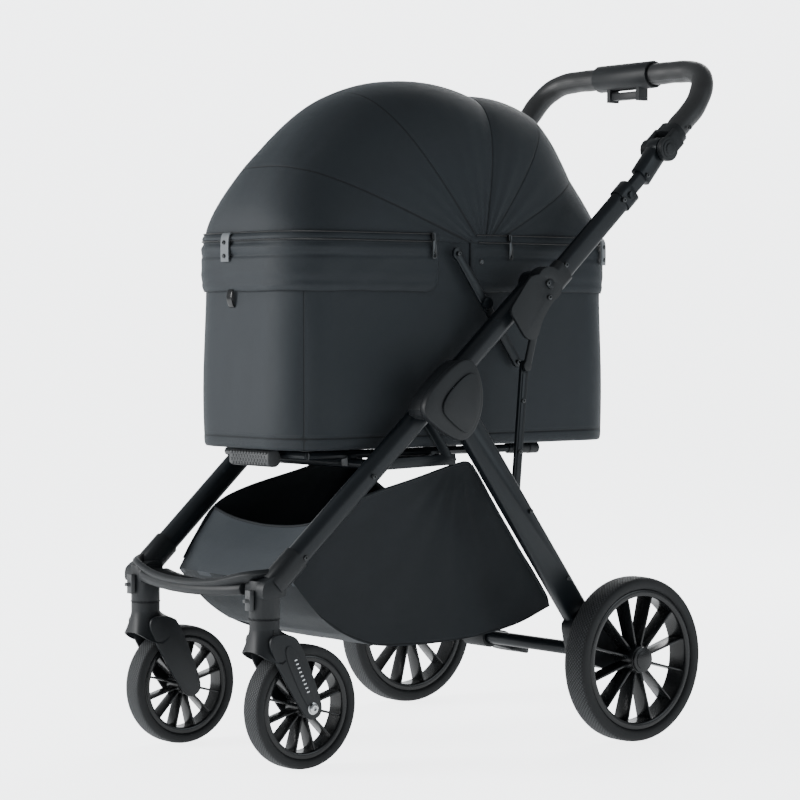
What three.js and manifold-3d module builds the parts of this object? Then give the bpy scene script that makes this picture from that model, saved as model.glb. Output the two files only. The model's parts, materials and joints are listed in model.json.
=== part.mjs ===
// Pet stroller: folding frame, swivelling front casters, storage basket, lift-off carrier and folding hood.
// Millimetres, +Z up, front towards -Y, handle towards +Y, +X is the user's left.
import * as THREE from "three";
import { mergeVertices } from "three/addons/utils/BufferGeometryUtils.js";
import Module from "manifold-3d";

const wasm = await Module();
wasm.setup();

// ---- driving dimensions; side-view points are [y, z] with y = 0 at the rear axle ----
const REAR_AXLE_Y = 179.75;
const REAR_WHEEL = { y: 0, x: 259.6, height: 120, width: 44, sides: 28, inner: 99, hub: 20, bore: 6 };
const FRONT_WHEEL = { y: -520, x: 144, height: 85.6, width: 38, sides: 24, inner: 69, hub: 15, bore: 5 };
const SPOKES = 12;
const STEM = { x: 144, y: -580, r: 21, low: 210, high: 262 };
const TUBE = { wide: 33, deep: 26 };
const MAIN_LOW = [156, -535, 291];
const MAIN_HIGH = [167, -113, 665];
const FOLD = [-113, 665];
const HUB = [-288, 498];
const LEG = { low: [216.5, -75, 190], top: [196, -288, 498], wide: 42, deep: 20 };
const AXLE_BAR = [-69, 135];
const STRUT_TOP = [-146, 547];
const STRUT_LOW = [-166, 324];
const RISE = [0.7486, 0.663];
const UPPER = { x: 192, start: [-78.5, 685.9], end: [41, 791.8], wide: 33, deep: 20 };
const SLIDER = { wide: 23, deep: 12.5, inside: 85, top: [82, 828] };
const KNUCKLE = [118, 868];
const GRIP_R = 17;
const GRIP_BAR = [238, 997];
const CARRIER = { front: -515, rear: 92, half: 130, corner: 65, floor: 432, top: 728, wall: 4 };
const RIM = { low: 652, high: 733, proud: 4.4, gap: [-252, -202] };
const HOOD = { y: -178, z: 714, half: 128, power: 2.7, thick: 3, cut: 738.5, wire: 2.4 };
const BOWS = [
  { name: "hood_bow_1", angle: 21, reach: 320, foot: 78 },
  { name: "hood_bow_2", angle: 54, reach: 278, foot: 52 },
  { name: "hood_bow_3", angle: 103, reach: 238, foot: 52 },
  { name: "hood_bow_4", angle: 130, reach: 271, foot: 62 },
];
const HOOD_EDGES = [[3, 338], [21, 320], [54, 278], [103, 238], [130, 271], [153, 264], [177, 268]];
const ROD = { x: 95, z: 424, r: 6 };
const GAP = 0.35;

// ---- materials ----
const paint = { color: 0x1d2226, roughness: 0.45, metalness: 0.4 };
const plastic = { color: 0x24282b, roughness: 0.6, metalness: 0.0 };
const rubber = { color: 0x141516, roughness: 0.85, metalness: 0.0 };
const leather = { color: 0x1c1c1e, roughness: 0.5, metalness: 0.0 };
const cloth = { color: 0x33393d, roughness: 0.9, metalness: 0.0 };
const steel = { color: 0xb8bcc0, roughness: 0.3, metalness: 1.0 };

// ---- solids ----
function bare(geometry) {
  const copy = geometry.clone();
  copy.deleteAttribute("normal");
  copy.deleteAttribute("uv");
  const merged = mergeVertices(copy, 1e-3);
  return volume(merged) < 0 ? flipped(merged) : merged;
}

function volume(geometry) {
  const p = geometry.attributes.position;
  const index = geometry.index.array;
  const [a, b, c] = [new THREE.Vector3(), new THREE.Vector3(), new THREE.Vector3()];
  let sum = 0;
  for (let i = 0; i < index.length; i += 3) {
    a.fromBufferAttribute(p, index[i]);
    b.fromBufferAttribute(p, index[i + 1]);
    c.fromBufferAttribute(p, index[i + 2]);
    sum += a.dot(b.cross(c)) / 6;
  }
  return sum;
}

function flipped(geometry) {
  const index = Array.from(geometry.index.array);
  for (let i = 0; i < index.length; i += 3) {
    [index[i], index[i + 1]] = [index[i + 1], index[i]];
  }
  geometry.setIndex(index);
  return geometry;
}

function manifold(geometry) {
  const g = bare(geometry);
  const vertProperties = new Float32Array(g.attributes.position.array);
  const triVerts = new Uint32Array(g.index.array);
  return new wasm.Manifold(new wasm.Mesh({ numProp: 3, vertProperties, triVerts }));
}

function geometryOf(solid) {
  const mesh = solid.getMesh();
  const g = new THREE.BufferGeometry();
  g.setAttribute("position", new THREE.BufferAttribute(new Float32Array(mesh.vertProperties), 3));
  g.setIndex(Array.from(mesh.triVerts));
  g.computeVertexNormals();
  return g;
}

function join(...parts) {
  return geometryOf(parts.map(manifold).reduce((a, b) => a.add(b)));
}

function cut(body, ...tools) {
  return geometryOf(tools.map(manifold).reduce((a, b) => a.subtract(b), manifold(body)));
}

function keep(body, tool) {
  return geometryOf(manifold(body).intersect(manifold(tool)));
}

function mirrored(geometry) {
  const g = bare(geometry);
  g.applyMatrix4(new THREE.Matrix4().makeScale(-1, 1, 1));
  return flipped(g);
}

// ---- shapes; "across" solids run along X, their outline is in [y, z] ----
function outline(points, radius = 0) {
  const shape = new THREE.Shape();
  const n = points.length;
  points.forEach((p, i) => {
    const corner = new THREE.Vector2(...p);
    const before = new THREE.Vector2(...points[(i + n - 1) % n]).sub(corner);
    const after = new THREE.Vector2(...points[(i + 1) % n]).sub(corner);
    const r = Math.min(radius, before.length() / 2.05, after.length() / 2.05);
    const start = before.setLength(r).add(corner);
    const end = after.setLength(r).add(corner);
    if (i === 0) shape.moveTo(start.x, start.y);
    else shape.lineTo(start.x, start.y);
    if (r > 0) shape.quadraticCurveTo(corner.x, corner.y, end.x, end.y);
  });
  shape.closePath();
  return shape;
}

function across(points, x0, x1, radius = 0, curveSegments = 2) {
  const options = { depth: x1 - x0, bevelEnabled: false, curveSegments };
  const g = new THREE.ExtrudeGeometry(outline(points, radius), options);
  const turn = new THREE.Matrix4().set(0, 0, 1, x0, 1, 0, 0, 0, 0, 1, 0, 0, 0, 0, 0, 1);
  return g.applyMatrix4(turn);
}

function disc([y, z], x0, x1, r, sides = 14) {
  const g = new THREE.CylinderGeometry(r, r, x1 - x0, sides);
  g.rotateZ(Math.PI / 2);
  g.translate((x0 + x1) / 2, y, z);
  return g;
}

function block(x0, x1, y0, y1, z0, z1) {
  const g = new THREE.BoxGeometry(x1 - x0, y1 - y0, z1 - z0);
  return g.translate((x0 + x1) / 2, (y0 + y1) / 2, (z0 + z1) / 2);
}

function oval(wide, deep, radius) {
  const [w, d] = [wide / 2, deep / 2];
  const r = Math.min(radius, w - 0.1, d - 0.1);
  const shape = new THREE.Shape();
  shape.moveTo(d - r, -w);
  shape.absarc(d - r, -w + r, r, -Math.PI / 2, 0);
  shape.absarc(d - r, w - r, r, 0, Math.PI / 2);
  shape.absarc(-d + r, w - r, r, Math.PI / 2, Math.PI);
  shape.absarc(-d + r, -w + r, r, Math.PI, 1.5 * Math.PI);
  shape.closePath();
  return shape;
}

function beam(a, b, wide, deep, radius = 100, curveSegments = 3) {
  const [from, to] = [new THREE.Vector3(...a), new THREE.Vector3(...b)];
  const z = to.clone().sub(from);
  const depth = z.length();
  z.normalize();
  const x = new THREE.Vector3(1, 0, 0).addScaledVector(z, -z.x).normalize();
  const y = z.clone().cross(x);
  const options = { depth, bevelEnabled: false, curveSegments };
  const g = new THREE.ExtrudeGeometry(oval(wide, deep, radius), options);
  return g.applyMatrix4(new THREE.Matrix4().makeBasis(x, y, z).setPosition(from));
}

function rod(a, b, r, sides = 8) {
  const [from, to] = [new THREE.Vector3(...a), new THREE.Vector3(...b)];
  const along = to.clone().sub(from);
  const g = new THREE.CylinderGeometry(r, r, along.length(), sides);
  const up = new THREE.Vector3(0, 1, 0);
  g.applyQuaternion(new THREE.Quaternion().setFromUnitVectors(up, along.clone().normalize()));
  return g.translate(...from.addScaledVector(along, 0.5).toArray());
}

function sweep(points, r, steps, sides = 10) {
  const path = new THREE.CatmullRomCurve3(points.map((p) => new THREE.Vector3(...p)));
  const round = new THREE.Shape();
  for (let i = 0; i < sides; i++) {
    const t = (2 * Math.PI * i) / sides;
    if (i === 0) round.moveTo(r, 0);
    else round.lineTo(r * Math.cos(t), r * Math.sin(t));
  }
  round.closePath();
  return new THREE.ExtrudeGeometry(round, { steps, extrudePath: path, bevelEnabled: false });
}

function turned(profile, sides) {
  const points = profile.map(([r, x]) => new THREE.Vector2(r, x));
  const g = new THREE.LatheGeometry(points, sides);
  g.rotateZ(-Math.PI / 2);
  g.rotateX(Math.PI / sides);
  return g;
}

function along(start, distance) {
  return [start[0] + RISE[0] * distance, start[1] + RISE[1] * distance];
}

// ---- wheels, centred on their own axle ----
function tyre(w) {
  const r = w.height / Math.cos(Math.PI / w.sides);
  const h = w.width / 2;
  const profile = [
    [r, -h * 0.45], [r, h * 0.45], [r - 9, h], [w.inner, h * 0.75], [w.inner, -h * 0.75], [r - 9, -h],
  ];
  return turned([...profile, profile[0]], w.sides);
}

function rim(w, capped) {
  const h = w.width / 2;
  const outer = w.inner - GAP;
  const ring = [[outer, -h * 0.7], [outer, h * 0.7], [outer - 6, h * 0.7], [outer - 6, -h * 0.7]];
  const parts = [turned([...ring, ring[0]], w.sides)];
  parts.push(disc([0, 0], -h * 0.8, h * 0.8, w.hub, 12));
  for (let i = 0; i < SPOKES; i++) {
    const spoke = block(-h * 0.62, h * 0.62, -1.7, 1.7, w.hub - 3, outer - 3);
    parts.push(spoke.rotateX((2 * Math.PI * (i + 0.5)) / SPOKES));
  }
  const hub = join(...parts);
  const bored = cut(hub, disc([0, 0], -h * 2, capped ? h * 0.55 : h * 2, w.bore, 10));
  return capped ? join(bored, disc([0, 0], h * 0.7, h + 1.5, w.hub - 1, 12)) : bored;
}

// ---- front of the frame ----
function mainTube() {
  const shaft = beam(MAIN_LOW, MAIN_HIGH, TUBE.wide, TUBE.deep);
  const eye = disc(FOLD, 155, 180, 19);
  const pin = disc(FOLD, 178, 205.5, 7, 12);
  return join(shaft, eye, pin);
}

function casterHousing() {
  const bowl = disc([0, 0], STEM.low, STEM.high, STEM.r, 16).rotateY(-Math.PI / 2);
  bowl.translate(STEM.x, STEM.y, 0);
  const socket = [154.9, -576, 254.7];
  const end = [155.99, -535.4, 290.64];
  const sleeve = beam(socket, end, TUBE.wide + 5, TUBE.deep + 5);
  const corner = across([[-600, 238], [-600, 257], [-585, 268], [-562, 268], [-560, 240]], 127, 168, 6);
  return join(bowl, sleeve, corner);
}

function footrest() {
  const half = [];
  const count = 8;
  for (let i = 0; i <= count; i++) {
    const t = -1 + (2 * i) / count;
    half.push([t * 126, -578 - 14 * (1 - t * t), 250 - 7 * (1 - t * t)]);
  }
  const path = new THREE.CatmullRomCurve3(half.map((p) => new THREE.Vector3(...p)));
  const section = oval(54, 16, 7);
  const g = new THREE.ExtrudeGeometry(section, { steps: 8, extrudePath: path, bevelEnabled: false, curveSegments: 1 });
  return cut(g, block(-300, -122.6, -700, -400, 0, 400), block(122.6, 300, -700, -400, 0, 400));
}

function swivelLock() {
  const tab = block(138, 150, -608, -601.4, 222, 250);
  return join(tab, block(141, 147, -614, -607, 233, 238));
}

function fork() {
  const arm = [[-597, 190], [-560, 190], [-538, 172], [-508, 92], [-512, 76], [-528, 76], [-538, 92], [-582, 160], [-597, 172]];
  const stem = disc([0, 0], 186, STEM.low - GAP, 18, 14).rotateY(-Math.PI / 2);
  stem.translate(STEM.x, STEM.y, 0);
  const crown = across([[-604, 160], [-604, 182], [-594, 192], [-556, 192], [-536, 186], [-520, 176]], 117, 171, 5);
  const wheelRoom = disc([FRONT_WHEEL.y, FRONT_WHEEL.height], 121.8, 166.2, 90, 24);
  const arms = [across(arm, 117, 121.8, 6), across(arm, 166.2, 171, 6)];
  const pin = disc([FRONT_WHEEL.y, FRONT_WHEEL.height], 118, 170, 4.4, 10);
  const heads = disc([FRONT_WHEEL.y, FRONT_WHEEL.height], 114.5, 118, 7.5, 10);
  const head = disc([FRONT_WHEEL.y, FRONT_WHEEL.height], 170, 173.5, 7.5, 10);
  return join(cut(join(stem, crown), wheelRoom), ...arms, pin, heads, head);
}

// ---- hub and rear legs ----
function hubCover() {
  const plateShape = [[-290, 552], [-272, 548], [-253, 493], [-283, 447], [-322, 462], [-363, 490]];
  const face = across(plateShape, 211, 218, 14, 3);
  const capShape = [[-278, 533], [-266, 528], [-260, 494], [-280, 459], [-300, 468], [-328, 493]];
  const cap = across(capShape, 217, 223, 10, 2);
  const wrap = across([[-363, 490], [-290, 552], [-279, 549], [-312, 510], [-330, 474]], 176, 212, 9, 2);
  const pin = disc(HUB, 176, 212, 8, 12);
  return join(face, cap, wrap, pin);
}

function rearLeg() {
  const shaft = beam(LEG.top, LEG.low, LEG.wide, LEG.deep, 7, 2);
  const eye = disc(HUB, 186, 206, 21, 18);
  const boss = disc(STRUT_LOW, 188.2, 200, 8, 10);
  return cut(join(shaft, eye, boss), disc(HUB, 150, 260, 8.4, 12));
}

function rearFoot() {
  const shape = [[-52, 206], [-96, 175], [-88, 138], [-72, 119], [-18, 101], [8, 104], [17, 120], [8, 138], [-28, 176]];
  const shell = across(shape, 208, 231, 9);
  const bar = disc(AXLE_BAR, 204, 212, 15, 14);
  const axle = disc([0, REAR_WHEEL.height], 230, 270, 5.4, 10);
  const socket = beam([214.6, -96, 220.3], [216.52, -74.8, 189.6], LEG.wide + 0.9, LEG.deep + 0.9, 7, 2);
  return cut(join(shell, bar, axle), socket, disc(AXLE_BAR, 190, 207.8, 10.6, 14));
}

function brakePedal() {
  const collar = disc(AXLE_BAR, -24, 24, 16, 14);
  const lever = across([[-60, 146], [-30, 140], [2, 118], [4, 110], [-8, 107], [-66, 124]], -17, 17, 5);
  const toe = across([[-16, 122], [4, 112], [2, 104], [-20, 110]], -30, 30, 4);
  return cut(join(collar, lever, toe), disc(AXLE_BAR, -60, 60, 10.9, 14));
}

// ---- folding links and handle ----
function strut() {
  const bend = [-164, 500];
  const upper = beam([184.4, ...STRUT_TOP], [184.4, ...bend], 14, 5, 2, 1);
  const lower = beam([184.4, ...bend], [184.4, ...STRUT_LOW], 14, 5, 2, 1);
  const ends = [disc(STRUT_TOP, 181.9, 186.9, 8.5, 12), disc(STRUT_LOW, 181.9, 186.9, 8.5, 12)];
  return join(upper, lower, disc(bend, 181.9, 186.9, 7, 10), ...ends);
}

function foldCasing() {
  const eye = disc(FOLD, 182, 204, 25, 20);
  const neck = beam([193, ...along([-101, 666], -8)], [193, ...along(UPPER.start, -GAP)], 37, 22, 8, 2);
  const leaf = across([[-96, 684], [-90, 655], [-112, 634], [-128, 612], [-138, 584], [-158, 585], [-190, 626], [-150, 676]], 199, 204, 8);
  const tongue = beam([191, ...FOLD], [191, ...STRUT_TOP], 13, 5, 2, 1);
  const tip = disc(STRUT_TOP, 188.5, 193.5, 7.5, 10);
  return cut(join(eye, neck, leaf, tongue, tip), disc(FOLD, 150, 230, 7.6, 12));
}

function upperTube() {
  const x = UPPER.x;
  const shell = beam([x, ...UPPER.start], [x, ...along(UPPER.end, 1)], UPPER.wide, UPPER.deep, 9, 2);
  const clamp = beam([x, ...along(UPPER.end, -6)], [x, ...along(UPPER.end, 20)], 37, 24, 9, 2);
  const lug = disc(along(UPPER.end, 9), x + 9, x + 16, 6, 10);
  const [low, high] = [along(UPPER.start, 22), along(UPPER.end, 30)];
  const bore = beam([x, ...low], [x, ...high], SLIDER.wide + 1, SLIDER.deep + 1, 6, 2);
  return cut(join(shell, clamp, lug), bore);
}

function slider() {
  const low = along(UPPER.end, -SLIDER.inside);
  const tube = beam([UPPER.x, ...low], [UPPER.x, ...along(SLIDER.top, 2)], SLIDER.wide, SLIDER.deep, 5.5, 2);
  const sleeve = beam([UPPER.x, ...along(SLIDER.top, -4)], [UPPER.x, ...along(KNUCKLE, -12)], 34, 22, 9, 2);
  const knuckle = disc(KNUCKLE, 181, 203, 18, 16);
  return cut(join(tube, sleeve, knuckle), disc(KNUCKLE, 170, 220, 5.7, 10));
}

function handleArm() {
  const outer = beam([209, ...KNUCKLE], [209, ...along(KNUCKLE, 30)], 31, 10, 4, 1);
  const inner = beam([174, ...KNUCKLE], [174, ...along(KNUCKLE, 30)], 31, 12, 4, 1);
  const cheeks = [disc(KNUCKLE, 204, 214, 16.5, 16), disc(KNUCKLE, 168, 180, 16.5, 16)];
  const sleeve = beam([191.5, ...along(KNUCKLE, 22)], [191.5, ...along(KNUCKLE, 42)], 36, 43, 14, 2);
  const pin = disc(KNUCKLE, 176, 206, 5, 10);
  return cut(join(outer, inner, ...cheeks, sleeve, pin), disc(KNUCKLE, 206.5, 220, 10, 12));
}

function gripPath() {
  const start = along(KNUCKLE, 42.5);
  const half = [
    [191.5, ...start], [191.5, ...along(KNUCKLE, 62)], [191, 196, 938], [188, 218, 968], [176, 232, 989],
    [152, GRIP_BAR[0], GRIP_BAR[1]], [110, ...GRIP_BAR], [70, ...GRIP_BAR],
  ];
  const other = half.map(([x, y, z]) => [-x, y, z]).reverse();
  return [...half, [0, ...GRIP_BAR], ...other];
}

function gripModule() {
  const shell = disc(GRIP_BAR, -60, 60, 21.5, 16);
  const lugs = [block(-36, -29, 228, 248, 958, 982), block(29, 36, 228, 248, 958, 982)];
  return cut(join(shell, ...lugs), disc(GRIP_BAR, -90, 90, GRIP_R + GAP + 0.9, 16));
}

// ---- platform, arms and basket ----
function platform() {
  const parts = [];
  for (const s of [-1, 1]) {
    parts.push(rod([s * ROD.x, -470, ROD.z], [s * ROD.x, -60, ROD.z], ROD.r));
    parts.push(rod([s * ROD.x, -100, ROD.z], [s * ROD.x, -45, ROD.z - 1], 8));
    parts.push(beam([s * 141, -398, 410], [s * 141, -240, 414], 16, 4, 2, 1));
    parts.push(beam([s * 141, -250, 414], [s * 141, -293, 470], 16, 4, 2, 1));
  }
  parts.push(rod([-ROD.x, -470, ROD.z], [ROD.x, -470, ROD.z], ROD.r));
  parts.push(rod([-142.5, -396, 412], [142.5, -396, 412], 7));
  parts.push(rod([-142.5, -244, 414], [142.5, -244, 414], 6));
  parts.push(block(-102, -88, -404, -388, 408, 424));
  parts.push(block(88, 102, -404, -388, 408, 424));
  parts.push(block(-102, -88, -252, -236, 410, 424));
  parts.push(block(88, 102, -252, -236, 410, 424));
  return join(...parts);
}

function releaseGrip() {
  return across([[-502, 410], [-502, 427], [-496, 431], [-484, 431], [-480, 425], [-480, 412], [-486, 407], [-496, 407]], -47, 47, 3);
}

function carrierArm() {
  const arm = beam([143, -237, 708], [143, -123, 552], 15, 4.5, 2, 1);
  const head = disc([-237, 708], 140.75, 145.25, 9, 10);
  const root = disc([-185, 637], 145, 151.6, 9, 10);
  return join(arm, head, disc([-123, 552], 140.75, 145.25, 7.5, 10), root);
}

function basket() {
  const side = [[-462, 338], [-409, 363], [-217, 408], [-58, 188], [-197, 160], [-380, 160], [-513, 200], [-540, 249]];
  const body = across(side, -139, 139, 10);
  const inner = [[-474, 360], [-410, 450], [-225, 480], [-221, 406], [-63, 192], [-199, 163.5], [-380, 163.5], [-510, 203], [-535.5, 250]];
  const room = across(inner, -136, 136, 10);
  const rearDip = new THREE.CylinderGeometry(170, 170, 150, 24).rotateX(Math.PI / 2);
  rearDip.translate(0, -150, 512);
  return cut(body, room, rearDip);
}

// ---- carrier ----
function plan(front, rear, half, corner) {
  const shape = new THREE.Shape();
  const r = corner;
  shape.moveTo(half, front + r);
  shape.absarc(half - r, rear - r, r, 0, Math.PI / 2);
  shape.absarc(-half + r, rear - r, r, Math.PI / 2, Math.PI);
  shape.absarc(-half + r, front + r, r, Math.PI, 1.5 * Math.PI);
  shape.absarc(half - r, front + r, r, 1.5 * Math.PI, 2 * Math.PI);
  shape.closePath();
  return shape;
}

function slab(inset, z0, z1, curveSegments = 4) {
  const c = CARRIER;
  const shape = plan(c.front + inset, c.rear - inset, c.half - inset, Math.max(c.corner - inset, 8));
  const g = new THREE.ExtrudeGeometry(shape, { depth: z1 - z0, bevelEnabled: false, curveSegments });
  return g.translate(0, 0, z0);
}

function carrierTub() {
  return cut(slab(0, CARRIER.floor, CARRIER.top), slab(CARRIER.wall, CARRIER.floor + 4, CARRIER.top + 5));
}

function rimBand(rear) {
  const ring = cut(slab(-RIM.proud, RIM.low, RIM.high), slab(-GAP, RIM.low - 5, RIM.high + 5));
  const [a, b] = RIM.gap;
  return cut(ring, rear ? block(-200, 200, -700, b, 600, 800) : block(-200, 200, a, 300, 600, 800));
}

// ---- hood: bows and gores turn about the X axis at its pivots ----
function squareness(angle) {
  const fromRim = Math.min(angle, 180 - angle);
  return HOOD.power + 4.3 * Math.exp(-Math.pow(fromRim / 13, 2));
}

function archPoint(angle, reach, half, t, power = HOOD.power) {
  const e = 2 / power;
  const c = Math.cos(t);
  const x = half * Math.sign(c) * Math.pow(Math.abs(c), e);
  const r = reach * Math.pow(Math.max(Math.sin(t), 0), e);
  const a = (angle * Math.PI) / 180;
  return [x, HOOD.y - r * Math.cos(a), HOOD.z + r * Math.sin(a)];
}

function footAngle(reach, foot) {
  return Math.asin(Math.pow(foot / reach, HOOD.power / 2));
}

function bow({ angle, reach, foot }) {
  const low = footAngle(reach, foot);
  const points = [];
  const count = 14;
  for (let i = 0; i <= count; i++) {
    points.push(archPoint(angle, reach - 1.5, HOOD.half - 1.5, low + ((Math.PI - 2 * low) * i) / count));
  }
  return sweep(points, HOOD.wire, 18, 5);
}

function reachAt(angle) {
  const i = Math.max(0, HOOD_EDGES.findIndex(([a]) => a > angle) - 1);
  const [a0, r0] = HOOD_EDGES[i];
  const [a1, r1] = HOOD_EDGES[i + 1];
  const t = (angle - a0) / (a1 - a0);
  const swell = 5 * Math.sin(Math.PI * t);
  return r0 + (r1 - r0) * t + swell;
}

function gore(from, to, clearFrom, clearTo, foot) {
  const [rows, columns] = [3, 12];
  const points = [];
  for (const inward of [0, HOOD.thick]) {
    for (let i = 0; i <= rows; i++) {
      for (let j = 0; j <= columns; j++) {
        const base = from + ((to - from) * i) / rows;
        const reach = reachAt(Math.min(Math.max(base, from + 0.01), to - 0.01)) - inward;
        const low = footAngle(reach, foot);
        const t = low + ((Math.PI - 2 * low) * j) / columns;
        const r = reach * Math.pow(Math.sin(t), 2 / HOOD.power);
        const a0 = from + ((clearFrom ? Math.asin(3.4 / r) : 0.0) * 180) / Math.PI;
        const a1 = to - ((clearTo ? Math.asin(3.4 / r) : 0.0) * 180) / Math.PI;
        const angle = a0 + ((a1 - a0) * i) / rows;
        points.push(...archPoint(angle, reach, HOOD.half - inward, t, squareness(base)));
      }
    }
  }
  return shellOf(points, rows, columns);
}

function shellOf(points, rows, columns) {
  const layer = (rows + 1) * (columns + 1);
  const at = (k, i, j) => k * layer + i * (columns + 1) + j;
  const index = [];
  const quad = (a, b, c, d) => index.push(a, b, c, a, c, d);
  for (let i = 0; i < rows; i++) {
    for (let j = 0; j < columns; j++) {
      quad(at(0, i, j), at(0, i, j + 1), at(0, i + 1, j + 1), at(0, i + 1, j));
      quad(at(1, i, j), at(1, i + 1, j), at(1, i + 1, j + 1), at(1, i, j + 1));
    }
  }
  for (let j = 0; j < columns; j++) {
    quad(at(0, 0, j), at(1, 0, j), at(1, 0, j + 1), at(0, 0, j + 1));
    quad(at(0, rows, j), at(0, rows, j + 1), at(1, rows, j + 1), at(1, rows, j));
  }
  for (let i = 0; i < rows; i++) {
    quad(at(0, i, 0), at(0, i + 1, 0), at(1, i + 1, 0), at(1, i, 0));
    quad(at(0, i, columns), at(1, i, columns), at(1, i + 1, columns), at(0, i + 1, columns));
  }
  const g = new THREE.BufferGeometry();
  g.setAttribute("position", new THREE.BufferAttribute(new Float32Array(points), 3));
  g.setIndex(index);
  g.computeVertexNormals();
  return g;
}

function aboveRim(geometry) {
  return keep(geometry, block(-300, 300, -900, 500, HOOD.cut, 1300));
}

// ---- assembly ----
const part = new THREE.Group();
part.name = "pet_stroller";
const frame = new THREE.Group();
frame.name = "axle_frame";
frame.position.y = REAR_AXLE_Y;
part.add(frame);

function add(name, geometry, material, group = frame) {
  const mesh = new THREE.Mesh(bare(geometry), new THREE.MeshStandardMaterial(material));
  mesh.geometry.computeVertexNormals();
  mesh.name = name;
  group.add(mesh);
  return mesh;
}

function pair(name, geometry, material) {
  add(`${name}_left`, geometry, material);
  add(`${name}_right`, mirrored(geometry), material);
}

function wheelPair(name, w, capped) {
  for (const [side, s] of [["left", 1], ["right", -1]]) {
    const axle = new THREE.Group();
    axle.name = `${name}_axle_${side}`;
    axle.position.set(s * w.x, w.y, w.height);
    frame.add(axle);
    const hub = rim(w, capped);
    add(`${name}_tyre_${side}`, tyre(w), rubber, axle);
    add(`${name}_rim_${side}`, s > 0 ? hub : mirrored(hub), plastic, axle);
  }
}

pair("main_tube", mainTube(), paint);
pair("caster_housing", casterHousing(), plastic);
add("footrest_bar", footrest(), plastic);
pair("swivel_lock", swivelLock(), plastic);
pair("caster_fork", fork(), plastic);
wheelPair("front", FRONT_WHEEL, false);
wheelPair("rear", REAR_WHEEL, true);
pair("hub_cover", hubCover(), plastic);
pair("rear_leg", rearLeg(), paint);
pair("rear_foot", rearFoot(), plastic);
add("axle_bar", rod([-207.5, ...AXLE_BAR], [207.5, ...AXLE_BAR], 10, 12), paint);
add("brake_pedal", brakePedal(), plastic);
pair("strut", strut(), paint);
pair("fold_casing", foldCasing(), plastic);
pair("upper_tube", upperTube(), paint);
pair("handle_slider", slider(), paint);
pair("handle_arm", handleArm(), plastic);
pair("angle_button", disc(KNUCKLE, 210.6, 217.6, 9.2, 12), plastic);
add("handle_grip", sweep(gripPath(), GRIP_R, 30, 10), leather);
add("grip_module", gripModule(), plastic);
add("handle_trigger", block(-28.5, 28.5, 230, 246, 961, 973), plastic);
add("platform_frame", platform(), paint);
add("release_grip", releaseGrip(), plastic);
pair("carrier_arm", carrierArm(), steel);
add("storage_basket", basket(), cloth);
add("carrier_tub", carrierTub(), cloth);
add("base_board", slab(9, 436.4, 444, 3), plastic);
add("carrier_mat", slab(11, 444.4, 470, 3), cloth);
add("rim_band_front", rimBand(false), cloth);
add("rim_band_rear", rimBand(true), cloth);
for (const b of BOWS) {
  add(b.name, bow(b), steel);
}
add("hood_front", aboveRim(gore(3, 21, false, true, 70)), cloth);
add("hood_gore_12", aboveRim(gore(21, 54, true, true, 60)), cloth);
add("hood_gore_23", aboveRim(gore(54, 103, true, true, 48)), cloth);
add("hood_gore_34", aboveRim(gore(103, 130, true, true, 48)), cloth);
add("hood_gore_45", aboveRim(gore(130, 153, true, false, 56)), cloth);
add("hood_rear", aboveRim(gore(153.6, 177, false, false, 62)), cloth);

export default part;
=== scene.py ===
# %% [markdown]
# # A folding pet stroller
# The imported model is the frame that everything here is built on: it says where each part is, how big it is
# and which body it moves with. It is loaded first and never moved, so a new piece only has to be put where
# its part already stands.

# %% Load the frame
import json
import math

import bpy
import numpy as np
from mathutils import Matrix, Vector, noise

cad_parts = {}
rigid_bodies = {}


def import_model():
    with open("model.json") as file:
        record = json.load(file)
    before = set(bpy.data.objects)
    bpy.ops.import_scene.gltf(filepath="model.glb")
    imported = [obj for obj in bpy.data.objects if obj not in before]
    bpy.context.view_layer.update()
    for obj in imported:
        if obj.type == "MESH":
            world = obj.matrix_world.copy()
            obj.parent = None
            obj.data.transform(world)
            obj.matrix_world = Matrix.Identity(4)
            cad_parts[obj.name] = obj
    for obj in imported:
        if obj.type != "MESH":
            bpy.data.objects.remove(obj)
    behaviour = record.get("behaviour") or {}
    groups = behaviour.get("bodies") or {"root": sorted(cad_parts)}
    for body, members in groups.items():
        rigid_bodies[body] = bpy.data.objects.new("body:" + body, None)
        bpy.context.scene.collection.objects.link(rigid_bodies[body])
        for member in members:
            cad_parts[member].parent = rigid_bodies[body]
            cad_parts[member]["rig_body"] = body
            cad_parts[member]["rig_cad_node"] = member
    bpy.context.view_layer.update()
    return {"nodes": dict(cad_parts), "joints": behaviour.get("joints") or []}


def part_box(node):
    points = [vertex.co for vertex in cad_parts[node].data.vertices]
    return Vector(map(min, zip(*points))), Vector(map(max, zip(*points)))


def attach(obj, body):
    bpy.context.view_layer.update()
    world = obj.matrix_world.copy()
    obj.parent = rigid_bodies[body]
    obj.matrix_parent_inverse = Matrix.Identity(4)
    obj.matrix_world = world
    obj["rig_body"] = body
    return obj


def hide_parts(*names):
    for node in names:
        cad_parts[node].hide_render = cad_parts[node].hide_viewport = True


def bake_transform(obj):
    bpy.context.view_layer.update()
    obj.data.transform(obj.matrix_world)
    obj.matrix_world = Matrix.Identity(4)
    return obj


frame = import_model()
nodes = frame["nodes"]
joints = {j["name"]: j for j in frame["joints"]}

# %% [markdown]
# ## Units and places
# The drawing of a stroller is read from its side, with heights above the floor and distances from the rear
# axle. Working in millimetres from that axle keeps the numbers short, and one small function turns them
# into metres in the shared frame.

# %% Places
MM = 0.001
AXLE_Y = joints["rear_wheel_spin_left"]["pos_m"][1]
PIVOT = joints["hood_fold"]["pos_m"]


def at(x, y, z):
    return Vector((x * MM, y * MM + AXLE_Y, z * MM))


def side_view(name):
    """A joint's place as (y, z) in millimetres from the rear axle."""
    y, z = joints[name]["pos_m"][1:]
    return (y - AXLE_Y) / MM, z / MM


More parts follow.
